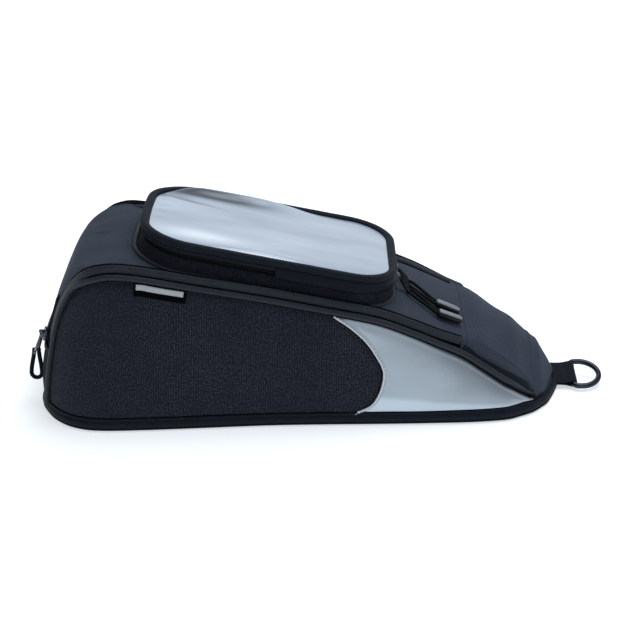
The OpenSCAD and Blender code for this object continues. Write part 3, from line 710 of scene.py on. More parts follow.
def tip_cord(P, M):
    A, B = put(P, [0, 1.5, 2.3]), on_plate(M, PULL_TURN, PULL_A, PLATE_L - 0.2)
    return drop(A, B, put(P, [1, 1.5, 2.3]) - A, 2.4, 4.8, 6)


rear_top = on_plate(rear_M, -90, REAR_A, PLATE_L - 0.2)
CORDS = {"pocket_cord_far": (tip_cord(far_tip, far_M), 3.0, "pocket_far_pull"),
         "pocket_cord_near": (tip_cord(near_tip, near_M), 3.0, "pocket_near_pull"),
         "main_cord_rear": (drop(rear_top + [-0.6, 0, 0], rear_top + [-2.6, 0, -30], np.array([1.0, 0, 0]), 2.1, 4.9, 6), 4.0, "rear_pull")}
cord_obj = {}
for cname, (pts, dia, body) in CORDS.items():
    cu = bpy.data.curves.new(cname + "_cord", "CURVE")
    cu.dimensions = "3D"
    cu.bevel_depth, cu.bevel_resolution, cu.use_fill_caps = dia / 2000, 5, True
    sp = cu.splines.new("POLY")
    P = (pts - [XM, 0, 0]) / 1000
    sp.points.add(len(P) - 1)
    for q, p in zip(sp.points, P): q.co = (*p, 1)
    ob = bpy.data.objects.new(cname + "_cord", cu)
    scene.collection.objects.link(ob)
    cu.materials.append(M_CORD)
    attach(ob, body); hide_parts(cname)
    cord_obj[cname] = (ob, P, float(np.linalg.norm(np.diff(P, axis=0), axis=-1).sum()))

# ---------------------------------------------------------------- body of the bag
def both(name, part, body, slot, mats, nodes, **kw):
    make(name + "_right", part[0], part[1], body, slot, mats, part[2], [n + "_right" for n in nodes], **kw)
    q = mirrored(part)
    make(name + "_left", q[0], q[1], body, slot, mats, q[2], [n + "_left" for n in nodes], **kw)


def black_side():
    U, W = grid(150, 54)
    s = 3.0 + (split_s(W) - 0.012 - 3.0) * U ** 1.35
    z = 8.6 + (seam_z(np.maximum(s, 3.05)) + 0.6 - 8.6) * W
    P, N = wall(s, z), wall_out(s, z)
    Lu, H = 400.0, (z[:, -1:] - 8.6)
    eu, ew = np.minimum(U * Lu, (1 - U) * Lu), np.minimum(W, 1 - W) * H
    e = np.minimum(eu, ew)
    d = 1.2 * (1 - np.exp(-e / 5.0)) - 1.8 * np.exp(-e / 1.7)
    d += 0.55 * noise3(P * [1, .4, 1], 46, 1) + 0.28 * noise3(P * [1, .4, 0.5], 17, 2) * np.exp(-ew / 22)
    d += 0.22 * np.sin(P[..., 0] / 3.1 + 2 * noise3(P, 30, 3)) * np.exp(-ew / 6)
    P = P + d[..., None] * N
    sg = np.linspace(0, 23, 900)
    run = np.concatenate([[0], np.cumsum(np.linalg.norm(np.diff(base_at(sg)[..., :2], axis=0), axis=-1))])
    return shell(P, 2.4, N, np.stack([np.interp(s, sg, run), z], -1))


def silver_side():
    U, W = grid(130, 60)
    s0 = split_s(W) + 0.012
    s = s0 + (18.7 - s0) * U
    z = 8.6 + (seam_z(s) + 0.6 - 8.6) * W
    P, N = wall(s, z), wall_out(s, z)
    H = (z[:, -1:] - 8.6)
    e = np.minimum((1 - U) * 40, np.minimum(W, 1 - W) * H)
    d = 1.5 * (1 - np.exp(-np.minimum(e, U * 190 + 4) / 6.0)) - 1.6 * np.exp(-e / 1.5)
    d += 0.55 * np.exp(-U * 190 / 1.6) - 0.3 * np.exp(-((U * 190 - 3.2) / 0.9) ** 2)
    d += 0.5 * noise3(P * [1, .4, 1], 60, 4) + 0.10 * noise3(P, 20, 5)
    P = P + d[..., None] * N
    return shell(P, 1.6, N, np.stack([(1 - W) * H * np.cos(np.radians(35)), z], -1))


both("side_black", black_side(), "bag", "ribbed_nylon", M_RIB, ["side_panel"])
both("side_silver", silver_side(), "bag", "silver_vinyl", M_SILVER, ["silver_panel"])

w = np.linspace(0.02, 0.985, 120)
ss = split_s(w)
for off, mat, nm, pitch, ln, wd in ((0.07, M_WHITE, "silver_stitch", 3.2, 2.3, 0.9), (-0.075, M_THREAD, "black_edge_stitch", 3.0, 2.1, 0.6)):
    s_ = ss + off
    z_ = 9 + (seam_z(s_) - 9) * w
    st = stitches(wall(s_, z_, 1.35 if off > 0 else 0.95), wall_out(s_, z_), pitch, ln, wd, 0.1)
    for side, q in (("right", st), ("left", mirrored(st))):
        make(f"{nm}_{side}", q[0], q[1], "bag", "silver_vinyl" if off > 0 else "ribbed_nylon", mat)

# folded edge of the silver panel, in a paler colour that paints the highlight where the fold catches the light
wq = np.linspace(0.036, 0.995, 150)
sq = split_s(wq) + 0.02
zq = 9 + (seam_z(sq) - 9) * wq
fold = sweep(wall(sq, zq, 0.9), wall_out(sq, zq), ellipse(0.75, 0.8, 12, 0, 0.25))
for side, q in (("right", fold), ("left", mirrored(fold))):
    make(f"silver_edge_fold_{side}", q[0], q[1], "bag", "silver_vinyl", M_FOLD_HIGHLIGHT, q[2])

# piping: a cord in a folded cloth, with its flange sewn between the panels
Q, N0 = on_wall(PIPE, 420)
pw = noise3(Q, 9, 6)[:, None] * 0.12 * np.ones((1, 14))
thin = 1 - 0.72 * smooth01((np.arange(420) - 388) / 31.0)
sc_ = np.stack([thin, thin], -1)
pipe = join([sweep(Q, N0, ellipse(2.6, 2.55, 14, 0, 2.75), scale=sc_, wob=pw * thin[:, None]), sweep(Q, N0, pill(7.4, 1.0, -0.9, 0.1), scale=sc_)])
both("piping_cloth", pipe, "bag", "binding_tape", M_PIPE, ["piping"])
st = stitches(Q[6:-6], N0[6:-6], 3.0, 2.0, 0.5, 0.2)
# stitch row in the ditch below the piping
T_, C_, N_ = frames(Q, N0)
st = stitches((Q - 3.5 * C_ + 0.35 * N_)[8:-8], N0[8:-8], 3.2, 2.2, 0.5, 0.2)
for side, q in (("right", st), ("left", mirrored(st))):
    make(f"piping_stitch_{side}", q[0], q[1], "bag", "binding_tape", M_THREAD)

# near-black strip as painted shadow in the gap between the piping and the side panel
gap = sweep(Q, N0, pill(1.5, 0.8, -3.55, 0.35))
for side, q in (("right", gap), ("left", mirrored(gap))):
    make(f"piping_shadow_strip_{side}", q[0], q[1], "bag", "binding_tape", M_SHADOW_AND_LABEL_BLACK, q[2])

# near-black strip as a painted shadow line where the panels meet the base binding
sg = np.linspace(-18.9, 18.9, 900)
zg = 11.9 - 2.6 * smooth01((np.abs(sg) - 17.2) / 1.6)
Qg, Ng = wall(sg, zg), wall_out(sg, zg)
gap = sweep(Qg, Ng, pill(1.4, 0.8, 0, 0.55))
make("base_shadow_strip", gap[0], gap[1], "bag", "binding_tape", M_SHADOW_AND_LABEL_BLACK, gap[2])
Qg, Ng = wall(sg, zg - 1.9), wall_out(sg, zg - 1.9)
gap = sweep(Qg, Ng, pill(3.6, 1.5, 0, 0.8), wob=noise3(Qg, 12, 18)[:, None] * 0.1 * np.ones((1, len(pill(3.6, 1.5, 0, 0.8)))))
make("base_seam_tape", gap[0], gap[1], "bag", "binding_tape", M_BIND, gap[2])

# rear lower panel
U, W = grid(110, 34)
s = -2.74 + 5.48 * U
z = 8.4 + (61.6 - 8.4) * W
P, N = wall(s, z), wall_out(s, z)
e = np.minimum(np.minimum(U, 1 - U) * 175, np.minimum(W, 1 - W) * 53)
d = 2.4 * (1 - np.exp(-e / 9.0)) - 0.8 * np.exp(-e / 1.6) + 0.7 * noise3(P * [1, 1, .6], 34, 7) + 0.25 * noise3(P * [1, 1, .3], 12, 8) * np.exp(-e / 14)
rear = shell(P + d[..., None] * N, 2.4, N)
make("rear_lower_cloth", rear[0], rear[1], "bag", "black_polyester", M_BODY, rear[2], ["rear_panel"])
hem = sweep(wall(np.linspace(-2.7, 2.7, 160), 60.6), wall_out(np.linspace(-2.7, 2.7, 160), 60.6), pill(4.6, 1.9, 0, 1.5))
st = stitches(wall(np.linspace(-2.66, 2.66, 160), 59.2, 2.55), wall_out(np.linspace(-2.66, 2.66, 160), 59.2), 3.2, 2.2, 0.55, 0.1)
make("rear_lower_hem", hem[0], hem[1], "bag", "binding_tape", M_BIND, hem[2])
make("rear_lower_stitch", st[0], st[1], "bag", "binding_tape", M_THREAD)

# base binding: rolled band with a thin lower lip
a = np.linspace(0, 46, 520, endpoint=False)
sb = np.where(a <= 23, a, a - 46)
Qb, Nb = wall(sb, 4.6), wall_out(sb, 4.6)
Nb = unit(Nb * [1, 1, 0.35])
wb = noise3(Qb, 14, 9)[:, None] * 0.15 * np.ones((1, 16))
band = join([sweep(Qb, Nb, ellipse(3.7, 2.3, 16, 1.2, 0.4), True, wob=wb), sweep(Qb, Nb, ellipse(1.35, 2.2, 12, -3.1, 0.1), True)])
# the path turns anticlockwise seen from above, so across is up
bz = band[0][:, 2]
make("base_binding_roll", band[0], band[1], "bag", "binding_tape", M_BIND, band[2], ["base_binding"])
st = stitches(wall(sb, 8.9, 0.9), wall_out(sb, 8.9), 3.2, 2.2, 0.5, 0.1, closed=True)
make("base_binding_stitch", st[0], st[1], "bag", "binding_tape", M_THREAD)

# base sheet: soft grip with raised dots
out_s = np.concatenate([np.linspace(0, 23, 93), np.linspace(22.75, 0.25, 91)])
sg = np.concatenate([np.ones(93), -np.ones(91)])
O = base_at(out_s)[:, :2] * np.stack([np.ones(184), -sg], -1) * 0.992
rings_ = []
for k, zz in ((1.0, 3.0), (1.0, 1.3), (0.996, 0.75), (0.985, 0.6)):
    rings_.append(np.concatenate([O * k, np.full((184, 1), zz)], 1))
for k in (0.9, 0.7, 0.5, 0.3, 0.12):
    rings_.append(np.concatenate([O * [[k, k]], np.full((184, 1), 0.6)], 1))
top_ = [np.concatenate([O * k, np.full((184, 1), 3.0)], 1) for k in (0.12, 0.5, 0.9)]
sheet = loft(np.array(top_ + rings_))
dots = []
half_w = lambda x: float(np.interp(x, [p[0] for p in BASE[2:]], [p[1] for p in BASE[2:]]))
dV, dF = [], []
for i, x in enumerate(np.arange(-246, 218, 9.0)):
    for j in range(-11, 12):
        y = (j + 0.5 * (i % 2)) * 9.0
        if abs(y) > half_w(x) - 8 or x > 214 - abs(y) * 0.2: continue
        k = len(dV)
        for r, zz in ((2.3, 0.62), (2.0, 0.15), (1.2, 0.0)):
            for q in range(8):
                dV.append([x + r * math.cos(q * PI / 4), y + r * math.sin(q * PI / 4), zz])
        for b in range(2):
            for q in range(8):
                dF.append([k + b * 8 + q, k + b * 8 + (q + 1) % 8, k + b * 8 + 8 + (q + 1) % 8, k + b * 8 + 8 + q])
        dF.append([k + q for q in range(8)])
        dF.append([k + 16 + q for q in range(7, -1, -1)])
base = join([sheet, (np.array(dV), dF, None)])
make("base_grip_sheet", base[0], base[1], "bag", "grip_base", M_GRIP, base[2], ["base_panel"])

# ---------------------------------------------------------------- nose cap
U, V_ = grid(92, 104)
t = 2 * V_ - 1
s = 13.92 + (22.8 - 13.92) * U
q = np.minimum(1, np.abs(t) / 0.84)
E = edge_at(s)
low = np.maximum(5.5, pipe_z(s) + 2.4)
low = np.where(s > 17.9, np.maximum(5.5, low - (s - 17.9) * 11), low)
lo2 = np.maximum(np.minimum(low, E[..., 2] - 0.8), 5.5)
zs = lo2 + (E[..., 2] - lo2) * (1 - np.maximum(0, np.abs(t) - 0.84) / 0.16)
side = wall(s, zs)
top = np.stack([E[..., 0], np.sign(t) * q * E[..., 1], E[..., 2] + look(s, NOSE_RISE) * (1 - q ** 2.2)], -1)
side = np.stack([side[..., 0], np.sign(t) * np.abs(side[..., 1]), side[..., 2]], -1)
P = np.where((np.abs(t) <= 0.84)[..., None], top, side)
for _ in range(5):      # soften the ridge between top and side
    Pn = P.copy()
    Pn[:, 1:-1] = 0.25 * P[:, :-2] + 0.5 * P[:, 1:-1] + 0.25 * P[:, 2:]
    wgt = np.exp(-((np.abs(t) - 0.84) / 0.06) ** 2)[..., None]
    P = P + (Pn - P) * wgt
P[..., 2] -= 1.9 * np.exp(-((s - 14.9) / 0.75) ** 2) * np.minimum(q, 1) ** 2
N = grid_normals(P)
if N[40, 52, 2] < 0: N = -N
edge_d = np.minimum(U * 110, (1 - U) * 110)
d = 0.5 * noise3(P, 30, 10) + 0.35 * noise3(P * [1, 0.5, 1], 15, 11) * np.exp(-edge_d / 40) + 0.5 * (1 - np.exp(-edge_d / 6)) - 0.2
d -= 0.5 * np.exp(-((P[..., 0] - 178 + 0.2 * P[..., 1]) / 6) ** 2) * smooth01(1 - np.abs(P[..., 1] - 22) / 30)
d += 0.35 * smooth01(1 - U * 110 / 9)
d += 1.5 * np.exp(-((np.abs(t) - 0.845) / 0.02) ** 2) * smooth01((s - 14.3) / 2.0) * smooth01((21.6 - s) / 2)
low_d = np.linalg.norm(P - np.where(V_[..., None] < 0.5, P[:, :1], P[:, -1:]), axis=-1)
reach = 11 * smooth01((s - 13.6) / 2.0)
d += 1.0 * np.exp(-((low_d - reach) / 3.4) ** 2) * smooth01((low_d - 4) / 5) - 1.0 * np.exp(-((low_d - 3.0) / 4) ** 2)
cap = shell(P + d[..., None] * N, 2.2, N)
make("nose_cap_cloth", cap[0], cap[1], "bag", "panel_polyester", M_PANEL, cap[2], ["nose_cap"])
NOSE_P, NOSE_N = P + d[..., None] * N, N
# dark tape bound over the lower edge of the cap, down both sides to the nose
for side, flip_ in (("right", 1), ("left", -1)):
    A, B_ = (NOSE_P, N) if (NOSE_P[40, 0, 1] < 0) == (flip_ > 0) else (NOSE_P[:, ::-1], N[:, ::-1])
    keep = slice(1, 64)
    A, B_ = A[keep, :30], B_[keep, :30]
    run = np.concatenate([np.zeros((len(A), 1)), np.cumsum(np.linalg.norm(np.diff(A, axis=1), axis=-1), axis=1)], 1)
    wide = 3.9 - 1.6 * smooth01((np.arange(len(A)) - 36) / 26)
    C0 = np.array([[np.interp(w_, run[i], A[i, :, k_]) for k_ in range(3)] for i, w_ in enumerate(wide)])
    C1 = np.array([[np.interp(w_, run[i], B_[i, :, k_]) for k_ in range(3)] for i, w_ in enumerate(wide)])
    C0, C1 = resample(C0, 1.8, C1)
    fz = wide.max() / 3.9
    band_ = sweep(C0, C1, pill(6.4, 1.1, 0, 0.45), wob=noise3(C0, 10, 17)[:, None] * 0.12 * np.ones((1, len(pill(6.4, 1.1, 0, 0.45)))))
    make(f"nose_edge_tape_{side}", band_[0], band_[1], "bag", "binding_tape", M_BIND, band_[2])
# near-black strip just behind the cap's rear edge: painted shadow under the edge
gap = sweep(NOSE_P[0, 9:-9] + np.array([-0.7, 0, -0.55]), N[0, 9:-9], pill(1.5, 1.0, 0, 0))
make("nose_cap_shadow_strip", gap[0], gap[1], "bag", "panel_polyester", M_SHADOW_AND_LABEL_BLACK, gap[2])
st = stitches(NOSE_P[3, 6:-6] + 0.1 * N[3, 6:-6], N[3, 6:-6], 3.2, 2.2, 0.5, 0.1)
make("nose_cap_stitch", st[0], st[1], "bag", "panel_polyester", M_THREAD)

# ---------------------------------------------------------------- lid: top and rear skirt in one cloth
LB = [(0, 70, 0), (0.6, 70, 0.57), (1.2, 70, 1.14), (1.75, 70, 1.66), (2.05, 70.6, 1.95), (2.2, 74, 2.12), (2.25, 84, 2.32), (2.27, 94, 2.5),
      (2.36, 105, 2.68), (2.53, 115, 2.86), (2.8, 123.5, 3.06), (3.15, 131, 3.34), (3.52, 136.8, 3.66), (4.0, 142, 4.08),
      (4.5, 146, 4.52), (5, 148.6, 5.0), (6, 150.4, 6), (7, 147.3, 7), (8, 138, 8), (9, 127.6, 9), (10, 117.1, 10),
      (11, 106, 11), (12, 94.2, 12), (13, 83.8, 13), (14.12, 73.2, 14.12)]
half = 130
cl = end_spl(LB, np.concatenate([np.linspace(0, 14, 78, endpoint=False), np.linspace(14, 24, half - 78 + 1)]))
cl = np.concatenate([(cl * [-1, 1, -1])[:0:-1], cl])
sb_, zb_, se_ = cl[:, 0], cl[:, 1], cl[:, 2]
nsk, ntp = 26, 40
rows = []
Ee = edge_at(np.abs(se_)) * np.stack([np.ones_like(se_), -np.sign(se_) + (se_ == 0), np.ones_like(se_)], -1)
for v in np.linspace(0, 1, nsk, endpoint=False):
    v2 = v
    sv = sb_ + (se_ - sb_) * v2
    ze = edge_at(np.abs(sv))[:, 2]
    zv = zb_ + (Ee[:, 2] - zb_) * v2
    rows.append(wall(sv, np.minimum(zv, ze)))
aq = np.abs(se_)
xc = np.where(aq >= 6, Ee[:, 0], -200 + 20 * smooth01(aq / 6))
for t_ in np.linspace(0, 1, ntp) ** 1.25:
    x = Ee[:, 0] + (xc - Ee[:, 0]) * t_
    y = Ee[:, 1] * (1 - t_)
    zl = Ee[:, 2] + (edge_z(xc) - Ee[:, 2]) * t_
    rows.append(np.stack([x, y, zl + 4 * (1 - (1 - t_) ** 2)], -1))
P = np.array(rows).transpose(1, 0, 2)
k0 = nsk
rad = np.clip((Ee[:, 2] - zb_) / 9, 0.25, 1.6)      # rounder where the skirt is tall
for it in range(26):
    Pn = P.copy()
    Pn[:, 1:-1] = 0.25 * P[:, :-2] + 0.5 * P[:, 1:-1] + 0.25 * P[:, 2:]
    dist = np.linalg.norm(P - P[:, k0:k0 + 1], axis=-1)
    wgt = np.exp(-(dist / (5.0 * rad[:, None] + 1.0)) ** 2)
    P = P + (Pn - P) * wgt[..., None]
N = grid_normals(P)
if N[half, -5, 2] < 0: N = -N
N[:, -1] = unit(N[:, -1] * [1, 0, 1])
Z = P
skirt = (np.arange(nsk + ntp)[None, :] < nsk)
d = 0.7 * noise3(P, 52, 12) + 0.35 * noise3(P * [1, 1, .5], 22, 13)
d += 1.2 * np.exp(-((P[..., 0] + 200) / 26) ** 2) * (noise3(P * [1, 1, 0.35], 26, 14))
d += -0.8 * np.exp(-np.linalg.norm(P - P[:, :1], axis=-1) / 2.2)
fade = smooth01(np.abs(P[..., 1]) / 4 + 0.2)
wide = edge_w(P[..., 0])
along = smooth01((P[..., 0] + 190) / 30)
inn = wide - P[..., 1]
far_dip = -3.6 * smooth01((20 - inn) / 10) * along * np.where(P[..., 2] > edge_z(P[..., 0]) - 4.5, 1, 0) * smooth01((P[..., 2] - edge_z(P[..., 0]) + 4.5) / 3)
P[..., 2] += far_dip
P = P + (d * fade)[..., None] * N
lid = shell(P, 2.4, N)
lid_ob = make("lid_cloth", lid[0], lid[1], None, "panel_polyester", M_PANEL, lid[2], ["top_panel", "lid_rear"])
bm = bmesh.new(); bm.from_mesh(lid_ob.data)
bmesh.ops.remove_doubles(bm, verts=bm.verts, dist=2e-5)
bm.to_mesh(lid_ob.data); bm.free()
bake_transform(lid_ob)

# rolled edge along the far side of the lid, with a near-black strip as painted shadow along its seam
xb = np.linspace(-182, 141, 280)
Qe = np.stack([xb, edge_w(xb) - 3.7, edge_z(xb) - 1.9], -1)
Ne = np.tile(unit(np.array([0.25, -0.3, 1.0])), (280, 1))
te = np.sqrt(np.clip(np.minimum(np.arange(280), np.arange(280)[::-1] * 3) / 12, 0.05, 1))
prof_e = pill(8.0, 5.6, 0, 0, 2.5, 22)
roll_ = sweep(Qe, Ne, prof_e, scale=np.stack([te, te], -1), wob=noise3(Qe, 15, 26)[:, None] * 0.25 * np.ones((1, 22)))
Te, Ce, Ne2 = frames(Qe, Ne)
si = 1.0 if Ce[100][1] < 0 else -1.0
gap = sweep(Qe + si * 4.5 * Ce - 0.9 * Ne2, Ne2, pill(1.5, 1.4, 0, 0))
st = stitches((Qe + si * 2.6 * Ce + 2.3 * Ne2)[8:-8], Ne2[8:-8], 3.2, 2.2, 0.5, 0.05)
for nm, q, mt in (("lid_edge_roll", roll_, M_RAIN), ("lid_edge_shadow_strip", gap, M_SHADOW_AND_LABEL_BLACK), ("lid_edge_stitch", st, M_THREAD)):
    ob = make(nm, q[0], q[1], None, "binding_tape", mt, q[2])
    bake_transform(ob)

# rain flap over the zip, doubled stitch row above it at the rear corner
Q, N0 = on_wall(FLAP, 420)
prof = [(-3.1, 0.3), (-3.25, 0.95), (-3.0, 1.6), (-2.2, 1.95), (-0.5, 2.15), (1.5, 2.1), (3.0, 1.8), (3.9, 1.2), (4.2, 0.4), (3.6, -0.2), (0, -0.2), (-2.4, 0.0)]
flap = sweep(Q, N0, prof, wob=noise3(Q, 16, 15)[:, None] * 0.18 * np.ones((1, 12)))
both("rain_flap", flap, "lid", "binding_tape", M_RAIN, ["zip_flap"])
T_, C_, N_ = frames(Q, N0)
st = stitches((Q + 2.7 * C_ + 1.75 * N_)[4:-4], N0[4:-4], 3.2, 2.2, 0.5, 0.05)
for side, q in (("right", st), ("left", mirrored(st))):
    make(f"rain_flap_stitch_{side}", q[0], q[1], "lid", "binding_tape", M_THREAD)
# near-black strips along both edges of the rain flap: painted shadow in its seams
for nm, cc, oo, ww in (("outer", 4.7, 0.55, 1.1), ("inner", -3.7, 0.3, 1.2)):
    gap = sweep(Q, N0, pill(ww, 0.8, cc, oo))
    for side, q in (("right", gap), ("left", mirrored(gap))):
        make(f"rain_flap_gap_{nm}_{side}", q[0], q[1], "lid", "binding_tape", M_SHADOW_AND_LABEL_BLACK, q[2])
corner = [(2.12, 78), (2.12, 86), (2.14, 95), (2.24, 105.5), (2.42, 116), (2.66, 125.5), (2.95, 133.5), (3.3, 140), (3.7, 145)]
Qc, Nc = on_wall(corner, 120)
st = stitches(Qc + 1.15 * Nc, Nc, 3.4, 2.4, 0.8, 0.1)
for side, q in (("right", st), ("left", mirrored(st))):
    make(f"lid_corner_stitch_{side}", q[0], q[1], "lid", "panel_polyester", M_THREAD)
# hem across the bottom of the rear skirt
sl = np.linspace(-2.1, 2.1, 150)
hem = sweep(wall(sl, 71.2), wall_out(sl, 71.2), pill(5.2, 2.0, 0, 1.1))
make("lid_rear_hem", hem[0], hem[1], "lid", "binding_tape", M_BIND, hem[2])
st = stitches(wall(sl[3:-3], 72.4, 2.1), wall_out(sl[3:-3], 72.4), 3.2, 2.2, 0.55, 0.1)
make("lid_rear_stitch", st[0], st[1], "lid", "binding_tape", M_THREAD)

# ---------------------------------------------------------------- main zip: tapes and coil
MID = [[13.8, 68.6]] + [[s_, (look(s_, [p for p in PIPE if p[0] > 3]) + look(s_, [p for p in FLAP if p[0] > 3])) / 2 - 0.3] for s_ in (13, 12, 11, 10, 9, 8, 7, 6, 5.2)] + \
      [[4.55, 141.5], [3.9, 136.2], [3.3, 128.4], [2.98, 118.5], [2.78, 108], [2.68, 98], [2.64, 88], [2.62, 79], [2.55, 72], [2.35, 67.6], [2.1, 65.9], [1.7, 65.5], [1.1, 65.5], [0.5, 65.5], [0, 65.5]]
pm = end_spl(MID, np.linspace(0, len(MID) - 1, 420))
pm = np.concatenate([pm, (pm * [-1, 1])[-2::-1]])
Qm = wall(pm[:, 0], pm[:, 1]); Nm = wall_out(pm[:, 0], pm[:, 1])
dep = -3.6 + 3.3 * smooth01((2.55 - np.abs(pm[:, 0])) / 0.45)
Qm = Qm + dep[:, None] * Nm
Qm, Nm = resample(Qm, 1.6, Nm)
T_, C_, N_ = frames(Qm, Nm)
lowt = sweep(Qm, Nm, pill(5.6, 0.7, 3.5, -0.6))
upt = sweep(Qm, Nm, pill(5.6, 0.7, -3.5, -0.6))
if (put(np.eye(4), Qm[5] + 3.5 * C_[5]))[2] > Qm[5][2]: lowt, upt = upt, lowt
make("zip_tape_low", lowt[0], lowt[1], "bag", "zip_tape", M_TAPE, lowt[2], ["zip_tape_lower"])
make("zip_tape_up", upt[0], upt[1], "lid", "zip_tape", M_TAPE, upt[2], ["zip_tape_upper"])


def coil(Q, T, C, N, side, phase, pitch=1.6, reach=1.9, r=0.42):
    """One half of a zip chain: a row of small hooked beads reaching across the middle line."""
    V, F = [], []
    up = 1.0
    for i in range(0, len(Q)):
        p = Q[i] + T[i] * pitch * phase
        k = len(V)
        for a, rr, lift in ((-reach * 0.95, r * 0.8, -0.1), (-reach * 0.3, r, 0.15), (reach * 0.16, r * 1.25, 0.2), (reach * 0.3, r * 0.6, 0.1)):
            o = p + C[i] * side * -a + N[i] * lift
            V += [o + T[i] * rr, o + N[i] * rr * 1.2, o - T[i] * rr, o - N[i] * rr]
        for b in range(3):
            for j in range(4):
                F.append([k + b * 4 + j, k + b * 4 + (j + 1) % 4, k + b * 4 + 4 + (j + 1) % 4, k + b * 4 + 4 + j])
        F.append([k, k + 3, k + 2, k + 1]); F.append([k + 12, k + 13, k + 14, k + 15])
    return np.array(V), F, None


up_sign = 1.0 if (Qm[5] + C_[5])[2] > Qm[5][2] else -1.0
lowc = coil(Qm, T_, C_, N_, -up_sign, 0.0)
upc = coil(Qm, T_, C_, N_, up_sign, 0.5)
make("zip_coil_low", lowc[0], lowc[1], "bag", "zip_tape", M_TEETH)
make("zip_coil_up", upc[0], upc[1], "lid", "zip_tape", M_TEETH)

# short run of closed zip up the rear corner, which the side slider sits on
sv = np.linspace(71, 116, 60)
base_line = side_lo + (side_hi - side_lo) * ((sv - 74) / 38)[:, None]
Qs, Ns = base_line - 1.1 * side_n, np.tile(side_n, (60, 1))
tb = smooth01((116 - sv) / 9)
Qs = Qs - (3.2 * (1 - tb))[:, None] * side_n
bed = sweep(Qs, Ns, [(-5.6, -3.4), (-4.6, -0.9), (-3.4, -0.2), (-1.8, 0.0), (1.8, 0.0), (3.4, -0.2), (4.6, -0.9), (5.6, -3.4)])
make("corner_zip_bed", bed[0], bed[1], "lid", "zip_tape", M_TAPE, bed[2])
Qr, Nr = resample(Qs, 1.6, Ns)
Tr, Cr, Nr2 = frames(Qr, Nr)
c1, c2 = coil(Qr + 0.3 * Nr, Tr, Cr, Nr2, 1, 0.0), coil(Qr + 0.3 * Nr, Tr, Cr, Nr2, -1, 0.5)
cc = join([c1, c2])
make("corner_zip_coil", cc[0], cc[1], "lid", "zip_tape", M_TEETH)

# ---------------------------------------------------------------- label: plain woven tab, nothing written
sl = np.linspace(6.8, 7.78, 40)
Ql, Nl = wall(sl, seam_z(sl) - 6), wall_out(sl, seam_z(sl) - 6)
lab = sweep(Ql, Nl, pill(11.4, 0.9, 0, 1.5, 6, 24))
kx_ = lab[2][:, 0] / lab[2][:, 0].max()
mi = []
for f in lab[1]:
    xx = np.mean([lab[0][i][0] for i in f]); cz = np.mean([lab[2][i][0] for i in f])
    cen = np.mean([lab[0][i] for i in f], axis=0)
    k = int(np.argmin(np.linalg.norm(Ql - cen, axis=1)))
    T1, C1, N1 = frames(Ql, Nl)
    h = float(np.dot(cen - Ql[k], C1[k]))
    mi.append(0 if 0.0 < h < 4.9 and 1 < k < 38 else 1)
lab_ob = make("side_label_cloth", lab[0], lab[1], "bag", "label_cloth", [M_LABEL, M_SHADOW_AND_LABEL_BLACK], lab[2], ["side_label"], midx=mi)
T1, C1, N1 = frames(Ql, Nl)
st = stitches((Ql + 4.7 * C1 + 2.0 * N1)[1:-1], Nl[1:-1], 2.4, 1.6, 0.4, 0.0)
make("side_label_stitch", st[0], st[1], "bag", "label_cloth", M_THREAD)

# ---------------------------------------------------------------- document pocket
def rr(d, n_arc=18, n_x=44, n_y=16):
    """Rounded rectangle d inside the rim outline, anticlockwise from the middle of the +x end."""
    l, w_, r = 235 - 2 * d, 150 - 2 * d, max(43 - d, 2)
    hx, hy = l / 2 - r, w_ / 2 - r
    pts, nrm = [], []
    def line(a, b, n, nn):
        for f in np.linspace(0, 1, n, endpoint=False): pts.append(np.array(a) + (np.array(b) - np.array(a)) * f); nrm.append(nn)
    def arc(cx, cy, a0, n):
        for f in np.linspace(0, PI / 2, n, endpoint=False):
            c = (math.cos(a0 + f), math.sin(a0 + f)); pts.append(np.array([cx + r * c[0], cy + r * c[1]])); nrm.append(c)
    line((l / 2, 0), (l / 2, hy), n_y // 2, (1, 0)); arc(hx, hy, 0, n_arc)
    line((hx, w_ / 2), (-hx, w_ / 2), n_x, (0, 1)); arc(-hx, hy, PI / 2, n_arc)
    line((-l / 2, hy), (-l / 2, -hy), n_y, (-1, 0)); arc(-hx, -hy, PI, n_arc)
    line((-hx, -w_ / 2), (hx, -w_ / 2), n_x, (0, -1)); arc(hx, -hy, 1.5 * PI, n_arc)
    line((l / 2, -hy), (l / 2, 0), n_y // 2, (1, 0))
    pts, nrm = np.array(pts), np.array(nrm, float)
    full = smooth01((-40 - pts[:, 0]) / 70)
    pts = pts * [1, 1]
    across = np.minimum(1, (pts[:, 1] / (w_ / 2)) ** 2)
    pts[:, 0] += full * (3.4 * across - 1.2 * (1 - across))
    pts[:, 1] *= 1 - 0.016 * full * np.minimum(1, np.abs(pts[:, 1]) / 60)
    return pts, nrm


def pocket_ring(profile, dense=(18, 44, 16), wob=None):
    """Sweep of (d inward, z) round the pocket; d and z may be arrays round the ring."""
    O0, n0 = rr(0, *dense)
    R = []
    for d_, z_ in profile:
        O, _ = rr(4.0, *dense)
        O = O0 - n0 * np.asarray(d_, float).reshape(-1, 1)
        R.append(pk(O[:, 0], O[:, 1], z_))
    R = np.array(R).transpose(1, 0, 2)
    return loft(R, closed=True)


O0, n0 = rr(0)
m0 = len(O0)
ringpos = pk(O0[:, 0], O0[:, 1], 20)
wv = 0.25 * noise3(ringpos, 18, 20)
